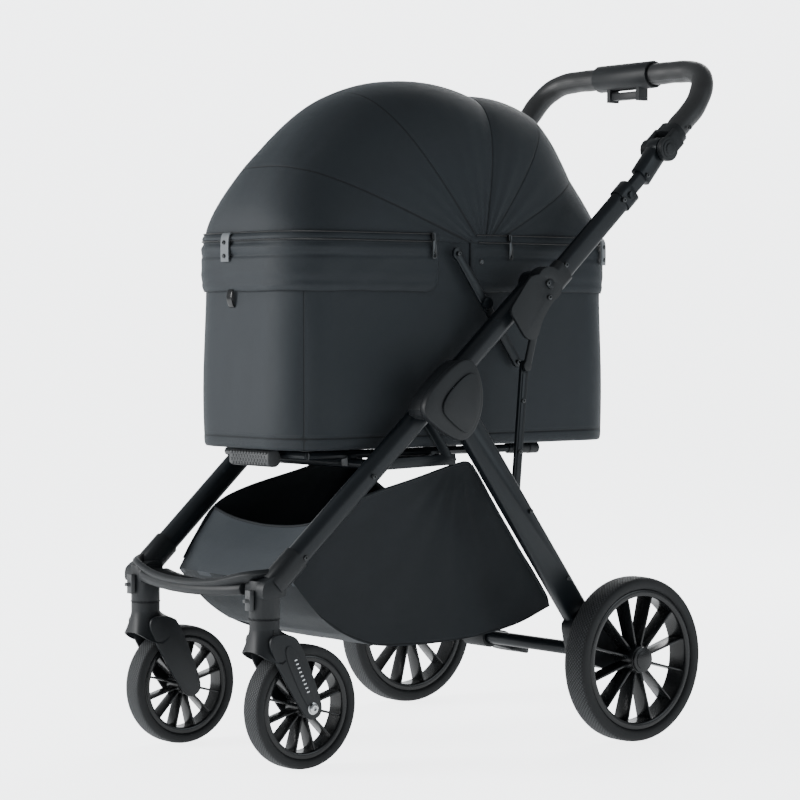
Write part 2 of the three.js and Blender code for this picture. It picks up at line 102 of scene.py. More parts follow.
HINGE = (PIVOT[1] - AXLE_Y) / MM, PIVOT[2] / MM
print("rear axle at", round(AXLE_Y, 5), "hood pivot", [round(v, 1) for v in HINGE])

# %% [markdown]
# ## Camera and studio
# A stroller looks truest from far away through a long lens, which keeps its wheels round and its tubes
# parallel. The studio is a pale floor that curves up into a backdrop, one large soft light from the front
# and a weaker one from behind, which draws thin highlights along the black tubes.

# %% Camera
scene = bpy.context.scene
EYE = Vector((2.986, -2.662 + AXLE_Y, 0.613))
AIM = Vector((0.0, -0.226 + AXLE_Y, 0.495))
lens = bpy.data.cameras.new("camera")
lens.sensor_width = 36
lens.lens = 117.6
camera = bpy.data.objects.new("camera", lens)
scene.collection.objects.link(camera)
camera.location = EYE
camera.rotation_euler = (AIM - EYE).to_track_quat("-Z", "Y").to_euler()
scene.camera = camera
print("camera", [round(v, 3) for v in EYE], "lens", lens.lens)


# %% Objects and modes
def clear():
    if bpy.context.object and bpy.context.object.mode != "OBJECT":
        bpy.ops.object.mode_set(mode="OBJECT")
    bpy.ops.object.select_all(action="DESELECT")


def only(piece):
    clear()
    bpy.context.view_layer.objects.active = piece
    piece.select_set(True)
    return piece


def named(name):
    piece = bpy.context.object
    piece.name = name
    piece.data.name = name
    return piece


def settled(piece):
    only(piece)
    bpy.ops.object.transform_apply(location=True, rotation=True, scale=True)
    return piece


def modified(piece, kind, **settings):
    only(piece)
    modifier = piece.modifiers.new(kind.title(), kind)
    for key, value in settings.items():
        setattr(modifier, key, value)
    bpy.ops.object.modifier_apply(modifier=modifier.name)
    return piece


def edit(piece, *steps):
    """Runs edit-mode steps, each an operator with its settings, on the whole mesh."""
    only(piece)
    bpy.ops.object.mode_set(mode="EDIT")
    bpy.ops.mesh.select_all(action="SELECT")
    for operator, settings in steps:
        operator(**settings)
    bpy.ops.object.mode_set(mode="OBJECT")
    return piece


def cleaned(piece, distance=1e-5):
    return edit(
        piece,
        (bpy.ops.mesh.remove_doubles, {"threshold": distance}),
        (bpy.ops.mesh.normals_make_consistent, {"inside": False}),
    )


def smooth(piece, degrees=38):
    only(piece)
    bpy.ops.object.shade_smooth_by_angle(angle=math.radians(degrees))
    return piece


def joined(name, parts):
    clear()
    for part in parts:
        part.select_set(True)
    bpy.context.view_layer.objects.active = parts[0]
    bpy.ops.object.join()
    return named(name)


def copied(piece, name):
    twin = piece.copy()
    twin.data = piece.data.copy()
    scene.collection.objects.link(twin)
    twin.name = name
    twin.data.name = name
    return twin


def mirrored(piece, name):
    twin = copied(piece, name)
    twin.data.transform(Matrix.Scale(-1, 4, (1, 0, 0)))
    twin.data.flip_normals()
    return twin


def pick(piece, kind, test):
    """Selects only the faces or edges that pass a test, and leaves the piece in edit mode."""
    only(piece)
    bpy.ops.object.mode_set(mode="EDIT")
    bpy.ops.mesh.select_mode(type=kind)
    bpy.ops.mesh.select_all(action="DESELECT")
    bpy.ops.object.mode_set(mode="OBJECT")
    mesh = piece.data
    for item in mesh.polygons if kind == "FACE" else mesh.edges:
        item.select = bool(test(item, mesh))
    bpy.ops.object.mode_set(mode="EDIT")


# %% [markdown]
# ## Shader maths as Python
# A procedural finish is a lot of small sums. Wrapping a socket in a class with the usual operators lets a
# finish be written as a formula, and each operator adds the Math node that it stands for.


# %% A socket that can be added and multiplied
class Value:
    def __init__(self, tree, socket):
        self.tree, self.socket = tree, socket

    def math(self, operation, *values):
        node = self.tree.nodes.new("ShaderNodeMath")
        node.operation = operation
        for slot, value in zip(node.inputs, values):
            feed(self.tree, slot, value)
        return Value(self.tree, node.outputs[0])

    def __add__(self, other):
        return self.math("ADD", self, other)

    def __sub__(self, other):
        return self.math("SUBTRACT", self, other)

    def __rsub__(self, other):
        return self.math("SUBTRACT", other, self)

    def __mul__(self, other):
        return self.math("MULTIPLY", self, other)

    def __truediv__(self, other):
        return self.math("DIVIDE", self, other)

    __radd__ = __add__
    __rmul__ = __mul__

    def wave(self, length):
        return self.math("SINE", self * (2 * math.pi / length))

    def size(self):
        return self.math("ABSOLUTE", self)

    def between(self, low=0.0, high=1.0):
        return self.math("MINIMUM", self.math("MAXIMUM", self, low), high)

    def above(self, level):
        return self.math("GREATER_THAN", self, level)

    def power(self, exponent):
        return self.math("POWER", self, exponent)


def feed(tree, slot, value):
    if isinstance(value, Value):
        tree.links.new(value.socket, slot)
    else:
        slot.default_value = value


# %% A finish in the making
class Finish:
    def __init__(self, name, **constants):
        self.material = bpy.data.materials.new(name)
        self.material.use_nodes = True
        self.tree = self.material.node_tree
        self.shader = self.tree.nodes["Principled BSDF"]
        for key, value in constants.items():
            self.shader.inputs[key.replace("_", " ")].default_value = value

    def node(self, kind, settings=None, inputs=None, out=0):
        node = self.tree.nodes.new("ShaderNode" + kind)
        for key, value in (settings or {}).items():
            setattr(node, key, value)
        for key, value in (inputs or {}).items():
            feed(self.tree, node.inputs[key], value)
        return Value(self.tree, node.outputs[out])

    def set(self, name, value):
        feed(self.tree, self.shader.inputs[name], value)

    def mix(self, factor, a, b):
        colours = {0: factor, 6: a, 7: b}
        return self.node("Mix", {"data_type": "RGBA"}, colours, out=2)

    def place(self):
        return self.node("TexCoord", out=3)

    def axes(self, vector):
        split = self.tree.nodes.new("ShaderNodeSeparateXYZ")
        feed(self.tree, split.inputs[0], vector)
        return [Value(self.tree, output) for output in split.outputs]

    def noise(self, vector, scale, detail=3.0):
        return self.node("TexNoise", None, {"Vector": vector, "Scale": scale, "Detail": detail})

    def bump(self, height, distance, strength=1.0, under=None):
        inputs = {"Height": height, "Distance": distance, "Strength": strength}
        if under is not None:
            inputs["Normal"] = under
        return self.node("Bump", None, inputs)


def paint(piece, finish):
    piece.data.materials.clear()
    piece.data.materials.append(finish)
    return piece


def grey(level, tint=0.0):
    """A dark neutral colour with a little blue in it."""
    return (level * (1 - tint), level, level * (1 + tint), 1.0)


# %% [markdown]
# ## Cloth
# The carrier and hood are a coated plain-weave polyester: matt, with a soft sheen where it turns away, and
# threads that only show close up. The weave follows the piece's own UV map, which is in metres, so it runs
# along each panel. Every sheet also stores how far each point is from its nearest seam, and the finish
# uses that for the sunk seam line, darkened as painted shade in its groove, and the row of stitches beside it.


# %% Cloth finish
def cloth(name, dark, light, thread=0.0011, rough=0.62, stitched=True):
    finish = Finish(name, Sheen_Weight=0.06, Sheen_Roughness=0.4, Specular_IOR_Level=0.26)
    finish.shader.inputs["Sheen Tint"].default_value = (0.72, 0.82, 0.9, 1.0)
    u, v, _ = finish.axes(finish.node("TexCoord", out=2))
    place = finish.place()
    broad = finish.noise(place, 7.0, 4.0)
    fine = finish.noise(place, 900.0, 2.0)
    threads = u.wave(thread) * v.wave(thread)
    seam = finish.node("Attribute", {"attribute_name": "seam"}, out=2)
    sunk_seam_shade = 1 - (seam / 0.0019).between()
    tone = (broad * 0.5 + fine * 0.35 + threads * 0.12).between()
    colour = finish.mix(tone, dark, light)
    height = threads * 0.25 + fine * 0.3
    if stitched:
        dash = (u + v).wave(0.0042).above(-0.25)
        stitch = (1 - ((seam - 0.0048) / 0.0007).size()).between() * dash
        colour = finish.mix(stitch * 0.22, colour, grey(0.05, 0.1))
        height = height + stitch * 0.5
    # Painted shade: the sunk seam line is darkened to near black, as shade in its groove.
    colour = finish.mix(sunk_seam_shade * 0.8, colour, grey(0.004, 0.1))
    finish.set("Base Color", colour)
    finish.set("Roughness", (rough + broad * 0.16 - 0.08 + sunk_seam_shade * 0.1).between(0.3, 1.0))
    soft = finish.bump(broad + finish.noise(place, 26.0, 3.0) * 0.35, 0.006, 0.35)
    finish.set("Normal", finish.bump(height - sunk_seam_shade * 3.0, 0.00035, 0.6, soft))
    return finish.material


CLOTH = cloth("charcoal_cloth", grey(0.019, 0.2), grey(0.031, 0.18))
BASKET_CLOTH = cloth("basket_cloth", grey(0.011, 0.2), grey(0.02, 0.18), thread=0.0014, rough=0.7)
# The basket's front panel gets a lighter copy of the basket cloth: painted light where the panel faces the key light.
BASKET_FRONT_PAINTED_LIGHT_CLOTH = cloth("basket_front_cloth_painted_light", grey(0.038, 0.16), grey(0.06, 0.15), thread=0.0014)
MAT_CLOTH = cloth("mat_cloth", grey(0.11, 0.03), grey(0.19, 0.03), thread=0.002, rough=0.85)
print("cloth finishes", CLOTH.name, BASKET_CLOTH.name, BASKET_FRONT_PAINTED_LIGHT_CLOTH.name, MAT_CLOTH.name)


# %% [markdown]
# ## Tube paint, moulded plastic, rubber, leatherette and metal
# The tubes are powder-coated: a satin skin with a faint orange peel. The joints are moulded in plastic with
# an eroded grain, which is rougher and lighter in scattered worn spots. The tyres are foam rubber whose tread is a
# net of small diamonds, worked out from the angle round the axle. The grip is leatherette with a pebbled
# grain, sewn with a pale double row.


# %% Hard finishes
def coated(name, level, rough, peel, metallic=0.0, tint=0.1, grain=420.0):
    finish = Finish(name, Metallic=metallic, Specular_IOR_Level=0.36)
    place = finish.place()
    broad = finish.noise(place, 14.0, 3.0)
    fine = finish.noise(place, grain, 2.0)
    scuff = finish.noise(place, 55.0, 6.0).above(0.69)
    tone = (broad * 0.7 + fine * 0.3).between()
    colour = finish.mix(tone, grey(level * 0.7, tint), grey(level * 1.35, tint))
    finish.set("Base Color", finish.mix(scuff * 0.12, colour, grey(level * 4, tint)))
    finish.set("Roughness", (rough + (broad - 0.5) * 0.14 + scuff * 0.1).between(0.08, 1.0))
    finish.set("Normal", finish.bump(fine, peel, 0.5))
    return finish.material


TUBE = coated("satin_tube", 0.010, 0.33, 0.00012, metallic=0.25, tint=0.26)
PLASTIC = coated("grained_plastic", 0.0085, 0.5, 0.00018, tint=0.2, grain=900.0)
GLOSS = coated("gloss_plastic", 0.008, 0.24, 0.00005, tint=0.1)
LIGHT_PLASTIC = coated("grey_plastic", 0.06, 0.5, 0.00015, tint=0.04, grain=900.0)
STRAP = coated("strap_leatherette", 0.13, 0.5, 0.0003, tint=0.08, grain=700.0)
STEEL = coated("bright_steel", 0.55, 0.22, 0.00003, metallic=1.0, tint=0.02)
DARK_STEEL = coated("black_steel", 0.06, 0.3, 0.00003, metallic=0.9, tint=0.04)


# %% Tyre and leatherette
def tyre_rubber(name, centre, radius, width, pitch=0.0078):
    finish = Finish(name, Specular_IOR_Level=0.4)
    place = finish.place()
    x, y, z = finish.axes(place)
    y, z = y - centre[1], z - centre[2]
    turn = y.math("ARCTAN2", z, y) * radius
    across = (x.size() - centre[0]).size()
    net = (turn + x).wave(pitch * 1.41).size() * (turn - x).wave(pitch * 1.41).size()
    crown = (1 - (across - width * 0.36) / 0.003).between()
    distance = (y * y + z * z).power(0.5)
    crown = crown * ((distance - (radius - 0.013)) / 0.002).between()
    grain = finish.noise(place, 350.0, 3.0)
    raised = ((net - 0.16) / 0.3).between()
    base = finish.mix(grain, grey(0.007, 0.1), grey(0.013, 0.1))
    # Painted light and shade: the raised diamonds are painted lighter than the grooves between them.
    painted_lit_tread = (raised * crown * 0.85).between()
    finish.set("Base Color", finish.mix(painted_lit_tread, base, grey(0.05, 0.08)))
    finish.set("Roughness", (0.62 + grain * 0.2 - raised * crown * 0.12).between())
    under = finish.bump(grain, 0.0002, 0.5)
    finish.set("Normal", finish.bump(raised * crown, 0.0026, 1.0, under))
    return finish.material


def leatherette():
    finish = Finish("grip_leatherette", Specular_IOR_Level=0.5)
    u, v, _ = finish.axes(finish.node("TexCoord", out=2))
    place = finish.place()
    x, _, _ = finish.axes(place)
    cells = finish.node("TexVoronoi", None, {"Vector": place, "Scale": 620.0})
    broad = finish.noise(place, 30.0, 3.0)
    thread = (u.wave(0.0046)).above(-0.35)
    row = (1 - ((v - 0.0535).size() - 0.0034).size() / 0.0006).between()
    seam = (1 - (v - 0.0535).size() / 0.0009).between()
    near = x.above(0.03)
    holes = (u.wave(0.004) + v.wave(0.004)).above(1.25) * (0 - x).above(0.075)
    base = finish.mix(broad, grey(0.012, 0.05), grey(0.024, 0.05))
    base = finish.mix(cells * 0.4, base, grey(0.032, 0.05))
    # Painted shade: the seam line between the stitch rows and the perforations are painted near black.
    base = finish.mix(seam * near * 0.8, base, grey(0.003))
    base = finish.mix(holes, base, grey(0.002))
    stitch = row * thread * near
    finish.set("Base Color", finish.mix(stitch * 0.75, base, grey(0.26, 0.03)))
    finish.set("Roughness", (0.36 + cells * 0.2 + stitch * 0.3).between())
    height = cells * 0.5 + stitch * 1.5 - seam * near * 2.0 - holes * 2.0
    finish.set("Normal", finish.bump(height, 0.00035, 0.8))
    return finish.material


REAR = joints["rear_wheel_spin_left"]["pos_m"]
FRONT = joints["front_wheel_spin_left"]["pos_m"]
REAR_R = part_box("rear_tyre_left")[1].z / 2
FRONT_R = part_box("front_tyre_left")[1].z / 2
REAR_RUBBER = tyre_rubber("rear_tyre_rubber", REAR, REAR_R, 0.044)
FRONT_RUBBER = tyre_rubber("front_tyre_rubber", FRONT, FRONT_R, 0.038, pitch=0.007)
LEATHER = leatherette()
print("rear wheel radius", round(REAR_R, 4), "front", round(FRONT_R, 4))

# %% [markdown]
# ## Sheets and sweeps
# Cloth is easiest to place from a rule: a flat grid is added, and each of its points is moved to where the
# rule puts that spot of the cloth. The same grid closed round on itself is a tube that follows a path. Both
# keep a UV map in metres and the distance to the nearest seam.


# %% How big a sheet was cut
CUTS = {}


def cut_of(place, area):
    """(width, length, area) of the flat cloth, measured along the middle of the sheet each way."""
    steps = [i / 80 for i in range(81)]
    across = sum((place(0.5, b) - place(0.5, a)).length for a, b in zip(steps, steps[1:]))
    along = sum((place(b, 0.5) - place(a, 0.5)).length for a, b in zip(steps, steps[1:]))
    return across, along, area


def declare_cut(piece, rests_on, name=None):
    across, along, area = CUTS[name or piece.name]
    area = min(max(area, 0.31 * across * along), across * along)
    print(piece.name, "cut", round(across, 3), "by", round(along, 3), "m, area", round(area, 4))


# %% A grid moved by a rule
def surface(name, columns, rows, place, size, seam=None):
    clear()
    bpy.ops.mesh.primitive_grid_add(x_subdivisions=columns, y_subdivisions=rows, size=1)
    piece = named(name)
    mesh = piece.data
    spots = [(v.co.x + 0.5, v.co.y + 0.5) for v in mesh.vertices]
    for vertex, (a, b) in zip(mesh.vertices, spots):
        vertex.co = place(a, b)
    far = [seam(a, b) if seam else 1.0 for a, b in spots]
    mesh.attributes.new("seam", "FLOAT", "POINT").data.foreach_set("value", far)
    uv = [c for loop in mesh.loops for c in (spots[loop.vertex_index][0] * size[0], spots[loop.vertex_index][1] * size[1])]
    mesh.uv_layers.active.data.foreach_set("uv", uv)
    mesh.update()
    CUTS[name] = cut_of(place, sum(face.area for face in mesh.polygons))
    return piece


def outward(piece, centre):
    """Turns a sheet's faces so that they look away from a point."""
    total = sum((p.center - centre).dot(p.normal) * p.area for p in piece.data.polygons)
    if total < 0:
        piece.data.flip_normals()
    return piece


def thick(piece, millimetres):
    return modified(piece, "SOLIDIFY", thickness=millimetres * MM, offset=-1.0, use_even_offset=False)


def path_points(points, count):
    """Points evenly spaced along a smooth curve through the given ones."""
    p = [Vector(q) for q in points]
    p = [p[0] * 2 - p[1], *p, p[-1] * 2 - p[-2]]
    fine = []
    for a, b, c, d in zip(p, p[1:], p[2:], p[3:]):
        for i in range(16):
            t = i / 16
            fine.append(0.5 * (2 * b + (c - a) * t + (2 * a - 5 * b + 4 * c - d) * t * t
                               + (3 * b - a - 3 * c + d) * t ** 3))
    fine.append(p[-2])
    steps = np.concatenate([[0], np.cumsum([(b - a).length for a, b in zip(fine, fine[1:])])])
    places = np.linspace(0, steps[-1], count + 1)
    columns = [np.interp(places, steps, [q[k] for q in fine]) for k in range(3)]
    return [Vector(q) for q in zip(*columns)], float(steps[-1])


def sweep(name, points, section, count, sides, up=(1, 0, 0), straight=False):
    """A closed tube along a path; section(u, angle) is the offset (side, up) in metres."""
    if straight:
        line, length = [Vector(p) for p in points], (Vector(points[-1]) - Vector(points[0])).length
        count = len(line) - 1
    else:
        line, length = path_points(points, count)
    frames = []
    side = Vector(up)
    for i, spot in enumerate(line):
        ahead = (line[min(i + 1, count)] - line[max(i - 1, 0)]).normalized()
        side = (side - ahead * side.dot(ahead)).normalized()
        frames.append((spot, side.copy(), ahead.cross(side)))

    def place(a, b):
        spot, s, t = frames[round(a * count)]
        x, y = section(a, b * 2 * math.pi)
        return spot + s * x + t * y

    girth = 2 * math.pi * max(abs(section(0.5, 0)[0]), abs(section(0.5, math.pi / 2)[1]))
    piece = surface(name, count, sides, place, (length, girth))
    edit(piece, (bpy.ops.mesh.remove_doubles, {"threshold": 1e-6}), (bpy.ops.mesh.fill_holes, {"sides": 0}),
         (bpy.ops.mesh.normals_make_consistent, {"inside": False}))
    return smooth(piece, 40)


def wire(name, points, radius, count=40, sides=10, **more):
    return sweep(name, points, lambda u, t: (radius * MM * math.cos(t), radius * MM * math.sin(t)), count, sides, **more)


def band(name, points, wide, deep, count=24, up=(1, 0, 0)):
    """A flat strap with rounded edges along a path."""
    def section(u, t):
        c, s = math.cos(t), math.sin(t)
        return (math.copysign(abs(c) ** 0.35, c) * deep / 2 * MM, math.copysign(abs(s) ** 0.35, s) * wide / 2 * MM)
    return sweep(name, points, section, count, 16, up=up)


def ripple(x, y, z, scale, seed=0.0):
    """A smooth wander between -1 and 1 that is the same on every run."""
    return noise.noise(Vector((x * scale + seed, y * scale - seed, z * scale + 2 * seed)))


# %% [markdown]
# ## The hood
# The hood is sewn from six gores, and a sprung wire bow runs in each seam. Cloth between two bows stands a
# little proud and tucks in at the stitching, which gives the lobed outline. All the gores gather at one
# point low on each side, where the fabric pleats. Each gore is one curved sheet: its edges are the two
# bows' lines, so neighbours meet in a seam.

# %% Hood measurements
HOOD_HALF = 128.0
BOW_ANGLES = (21, 54, 103, 130)
RIM_TOP = 732.5
HEM = 724.0
TUB_HALF, TUB_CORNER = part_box("carrier_tub")[1].x / MM, 65.0
TUB_FRONT, TUB_REAR = ((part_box("carrier_tub")[k].y - AXLE_Y) / MM for k in (0, 1))
FLARE = 40.0


def frame_reach(node, angle, spread=3.0):
    """How far the frame's own piece stands out from the pivots in one direction."""
    far = 0.0
    for vertex in bpy.data.objects[node].data.vertices:
        y, z = (vertex.co.y - AXLE_Y) / MM - HINGE[0], vertex.co.z / MM - HINGE[1]
        if abs(math.degrees(math.atan2(z, -y)) - angle) < spread:
            far = max(far, math.hypot(y, z))
    return far


HEM_ANGLE = 6
HOOD_SEAMS = [
    (HEM_ANGLE, frame_reach("hood_front", HEM_ANGLE)),
    *[(a, frame_reach(f"hood_bow_{i}", a)) for i, a in enumerate(BOW_ANGLES, 1)],
    (153, frame_reach("hood_rear", 153)),
    (180 - HEM_ANGLE, frame_reach("hood_rear", 180 - HEM_ANGLE)),
]
TAUT = 0.3


def reach_at(angle):
    """The hood's reach from its pivots: cloth between two seams, part of the way to a straight line."""
    angle = min(max(angle, HOOD_SEAMS[0][0]), HOOD_SEAMS[-1][0])
    (a0, r0), (a1, r1) = next(pair for pair in zip(HOOD_SEAMS, HOOD_SEAMS[1:]) if angle <= pair[1][0])
    even = r0 + (r1 - r0) * (angle - a0) / (a1 - a0)
    before, after, whole = (math.sin(math.radians(d)) for d in (angle - a0, a1 - angle, a1 - a0))
    straight = r0 * r1 * whole / (r0 * before + r1 * after)
    return even + (straight - even) * TAUT


def hem_height(angle):
    """The hood's lower edge above the pivots: level along the rim, lower at the gather."""
    return HEM - HINGE[1] - 7 * math.exp(-(((angle - 96) / 34) ** 2))


def roundness(angle):
    """The arch's exponent: squarer near the rim, where the hood follows the carrier's corners."""
    return 2 / (2.7 + 1.5 * math.exp(-((min(angle, 180 - angle) / 20) ** 2)))


def to_rim(x, y, z, grow=0.8):
    """Draws a point outwards to the carrier's edge, wholly at the rim and less and less above it."""
    share = math.exp(-((max(0.0, z - RIM_TOP) / FLARE) ** 1.3))
    inner = TUB_HALF - TUB_CORNER
    cx, cy = min(max(x, -inner), inner), min(max(y, TUB_FRONT + TUB_CORNER), TUB_REAR - TUB_CORNER)
    far = math.hypot(x - cx, y - cy)
    if far < 5:
        return x, y
    reach = (TUB_CORNER + grow) / far
    return x + ((cx + (x - cx) * reach) - x) * share, y + ((cy + (y - cy) * reach) - y) * share


def arch_spot(angle, reach, arch, foot):
    """(x, distance from the pivots, how high on the arch) at a share from one side to the other."""
    power = roundness(angle)
    start = math.asin(min(1.0, foot / reach) ** (1 / power))
    t = start + (math.pi - 2 * start) * arch
    c = math.cos(t)
    return HOOD_HALF * math.copysign(abs(c) ** power, c), reach * math.sin(t) ** power, math.sin(t) ** 0.7


def hood_point(angle, arch, low_angle, puff):
    """A spot of the hood: arch runs 0 to 1 from one side to the other."""
    reach = reach_at(angle)
    a = math.radians(angle)
    x, r, top = arch_spot(angle, reach, arch, hem_height(angle) / max(math.sin(a), 0.06))
    pleat = 1.4 * math.exp(-r / 80) * math.sin(a * 34)
    wander = 2.2 * ripple(x / 100, angle / 40, r / 100, 1.3, 3.1)
    r += (puff * 3.5 + wander * (0.3 + puff)) * top
    x += math.copysign(1.0, x) * (pleat + (puff * 4 + wander * 0.4) * (1 - top))
    y, z = HINGE[0] - r * math.cos(a), HINGE[1] + r * math.sin(a)
    gather = math.exp(-((r / 70) ** 2))
    x, y = to_rim(x, y, z, 0.8 + 1.6 * gather + pleat * 0.6)
    return at(x, y, z)


def gore(name, start, end, columns, rows):
    front_edge, rear_edge = start == 0, end == 180

    def place(u, v):
        a0, a1 = start, end
        if front_edge or rear_edge:
            reach = reach_at(start if front_edge else end)
            r = arch_spot(12, reach, u, 50)[1]
            hem = math.degrees(math.asin(min(0.34 if front_edge else 0.44, (HEM - HINGE[1]) / r)))
            a0, a1 = (hem, end) if front_edge else (start, 180 - hem)
        angle = a0 + (a1 - a0) * v
        tuck = math.sin(math.pi * v) if not (front_edge or rear_edge) else (
            math.sin(math.pi / 2 * (1 - v)) * v ** 0.3 if front_edge else math.sin(math.pi / 2 * v) * (1 - v) ** 0.3)
        return hood_point(angle, u, a0, abs(tuck) ** 0.8)

    middle = (start + end) / 2
    width = reach_at(middle) * math.radians(end - start) * MM

    def seam(u, v):
        near = min(v if not front_edge else 1 - v, (1 - v) if not rear_edge else v)
        side = math.sin(math.pi * u) ** 0.8
        return near * width * max(side, 0.08)

    piece = surface(name, columns, rows, place, (0.8, width), seam)
    outward(piece, at(0, HINGE[0], HINGE[1] + 60))
    thick(piece, 1.3)
    return smooth(cleaned(piece), 60)


GORES = [
    ("hood_front_gore", 0, 21, 12, "hood_front", "hood_1", None),
    ("hood_gore_a", 21, 54, 16, "hood_gore_12", "hood_2", "hood_1"),
    ("hood_gore_b", 54, 103, 22, "hood_gore_23", "hood_3", "hood_2"),
    ("hood_gore_c", 103, 130, 14, "hood_gore_34", "hood_4", "hood_3"),
    ("hood_gore_d", 130, 153, 12, "hood_gore_45", "carrier", "hood_4"),
    ("hood_rear_gore", 153, 180, 12, "hood_rear", "carrier", None),
]


def on_bow(angle, share=0.85):
    a = math.radians(angle)
    r = 260 * share
    return at(0, HINGE[0] - r * math.cos(a), HINGE[1] + r * math.sin(a))


# %% Make the gores
for name, start, end, rows, node, body, moving in GORES:
    piece = gore(name, start, end, 96, rows)
    paint(piece, CLOTH)
    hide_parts(node)
    if moving:
        on_bow(end)
        on_bow(start)
        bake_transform(piece)
    else:
        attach(piece, body)
    declare_cut(piece, [f"hood_wire_{1 + BOW_ANGLES.index(q)}" for q in (start, end) if q in BOW_ANGLES])

# %% [markdown]
# ## The hood's bows
# Each bow is one length of spring wire bent into an arch, with its ends in the pivot. It lies just under
# the cloth, inside the seam.

# %% Make the bows
for number, angle in enumerate(BOW_ANGLES, 1):
    a = math.radians(angle)
    reach = reach_at(angle) - 4
    spots = []
    for i in range(33):
        x, r, _ = arch_spot(angle, reach, i / 32, 36)
        y, z = HINGE[0] - r * math.cos(a), HINGE[1] + r * math.sin(a)
        x, y = to_rim(x * 0.975, y, z, -4.5)
        spots.append(at(x, y, z))
    piece = paint(wire(f"hood_wire_{number}", spots, 2.0, 64, 8, up=(0, 0, 1)), DARK_STEEL)
    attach(piece, f"hood_{number}")
    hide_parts(f"hood_bow_{number}")
print("4 bows")

# %% [markdown]
# ## The carrier
# The carrier is a cloth box with rounded corners over a stiff floor. Its wall is one sheet that goes round
# the outside, over the rim and down the inside, so it is made from a single grid: round the plan one way,
# and up, over and down again the other way. The wall bellies a little between its sewn corners.

# %% Round the carrier
TUB_LOW, TUB_HIGH = (c / MM for c in (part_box("carrier_tub")[0].z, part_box("carrier_tub")[1].z))
CORNER = TUB_CORNER
SIDES = [TUB_HALF - CORNER, CORNER * math.pi / 2, TUB_REAR - TUB_FRONT - 2 * CORNER]
LAPS = np.cumsum([SIDES[0], SIDES[1], SIDES[2], SIDES[1], 2 * SIDES[0], SIDES[1], SIDES[2], SIDES[1], SIDES[0]])
GIRTH = float(LAPS[-1])


def plan(s, grow=0.0):
    """(x, y, outward x, outward y) in millimetres, a way s round from the middle of the front."""
    s = s % GIRTH
    leg = int(np.searchsorted(LAPS, s, side="right"))
    into = s - (LAPS[leg - 1] if leg else 0)
    turns = [None, (1, TUB_FRONT + CORNER, -90), None, (1, TUB_REAR - CORNER, 0), None,
             (-1, TUB_REAR - CORNER, 90), None, (-1, TUB_FRONT + CORNER, 180), None]
    if turns[leg]:
        side, y, begin = turns[leg]
        a = math.radians(begin + into / CORNER * 180 / math.pi)
        nx, ny = math.cos(a), math.sin(a)
        return side * SIDES[0] + (CORNER + grow) * nx, y + (CORNER + grow) * ny, nx, ny
    if leg == 0:
        return into, TUB_FRONT - grow, 0, -1
    if leg == 2:
        return TUB_HALF + grow, TUB_FRONT + CORNER + into, 1, 0
    if leg == 4:
        return SIDES[0] - into, TUB_REAR + grow, 0, 1
    if leg == 6:
        return -TUB_HALF - grow, TUB_REAR - CORNER - into, -1, 0
    return -SIDES[0] + into, TUB_FRONT - grow, 0, -1


SEAM_AT = [122.5, GIRTH / 2 - 122.5, GIRTH / 2 + 122.5, GIRTH - 122.5]
TUB_PROFILE = [
    (-7, TUB_LOW + 0.4), (-0.5, TUB_LOW + 1.2), (2.8, TUB_LOW + 4), (4.2, TUB_LOW + 9), (4.5, 446), (4.0, 449),
    (4.4, 455), (4.8, 475), (4.8, 505), (4.2, 540), (3.0, 575), (1.4, 610), (-0.4, 640), (-1.0, 655), (-0.6, 690),
    (-0.3, 715), (-0.3, 725), (-0.9, 727.6), (-2.0, 728.3), (-3.0, 727.6), (-3.6, 724), (-3.8, 690), (-3.8, 600),
    (-3.8, 520), (-3.8, 475), (-3.8, 440),
]


def tub_spot(u, v):
    index = v * (len(TUB_PROFILE) - 1)
    grow = float(np.interp(index, range(len(TUB_PROFILE)), [g for g, _ in TUB_PROFILE]))
    z = float(np.interp(index, range(len(TUB_PROFILE)), [h for _, h in TUB_PROFILE]))
    s = u * GIRTH
    if index < 14:
        near = min(abs(s - q) for q in SEAM_AT)
        belly = min(1.0, near / 60)
        free = math.sin(math.pi * min(1.0, max(0.0, (z - 440) / 215)))
        grow *= 0.35 + 0.65 * belly
        turn = 2 * math.pi * u
        cx, cy = math.cos(turn), math.sin(turn)
        grow += free * (1.6 * ripple(2.6 * cx, 2.6 * cy, z / 160, 1.0, 5.0) + 0.8 * ripple(8 * cx, 8 * cy, z / 130, 1.0, 9.0))
        grow -= free * 1.1 * math.exp(-((near / 5) ** 2))
    x, y, nx, ny = plan(s)
    return at(x + nx * grow, y + ny * grow, z)


def tub_seam(u, v):
    index = v * (len(TUB_PROFILE) - 1)
    s = u * GIRTH
    z = float(np.interp(index, range(len(TUB_PROFILE)), [h for _, h in TUB_PROFILE]))
    upright = min(abs(s - q) for q in SEAM_AT) if index < 14 else 99
    level = abs(z - 449) if index < 14 else 99
    return min(upright, level) * MM


# %% Make the carrier's wall
tub = surface("carrier_cloth", 264, 75, tub_spot, (GIRTH * MM, 0.6), tub_seam)
edit(tub, (bpy.ops.mesh.remove_doubles, {"threshold": 1e-6}), (bpy.ops.mesh.fill_holes, {"sides": 0}),
     (bpy.ops.mesh.normals_make_consistent, {"inside": False}))
paint(smooth(tub, 50), CLOTH)
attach(tub, "carrier")
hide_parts("carrier_tub")
CUTS["carrier_cloth"] = (0.3, GIRTH * MM, 0.3 * GIRTH * MM)
declare_cut(tub, ["base_board_body"])
print("carrier", round(GIRTH), "mm round,", len(tub.data.polygons), "faces")

# %% [markdown]
# ## The rim bands
# A double band is sewn round the rim and hides the two zips. It is in two lengths, front and rear, and
# leaves a gap on each side for the hood's gather. Its ends have rounded lower corners and its cloth lies in
# level folds, deeper at the front where the hood pulls on it.


# %% A rim band
def way_to(y):
    """The way round to a point on the +X side that far from the rear axle."""
    return float(LAPS[1]) + (y - (TUB_FRONT + CORNER))


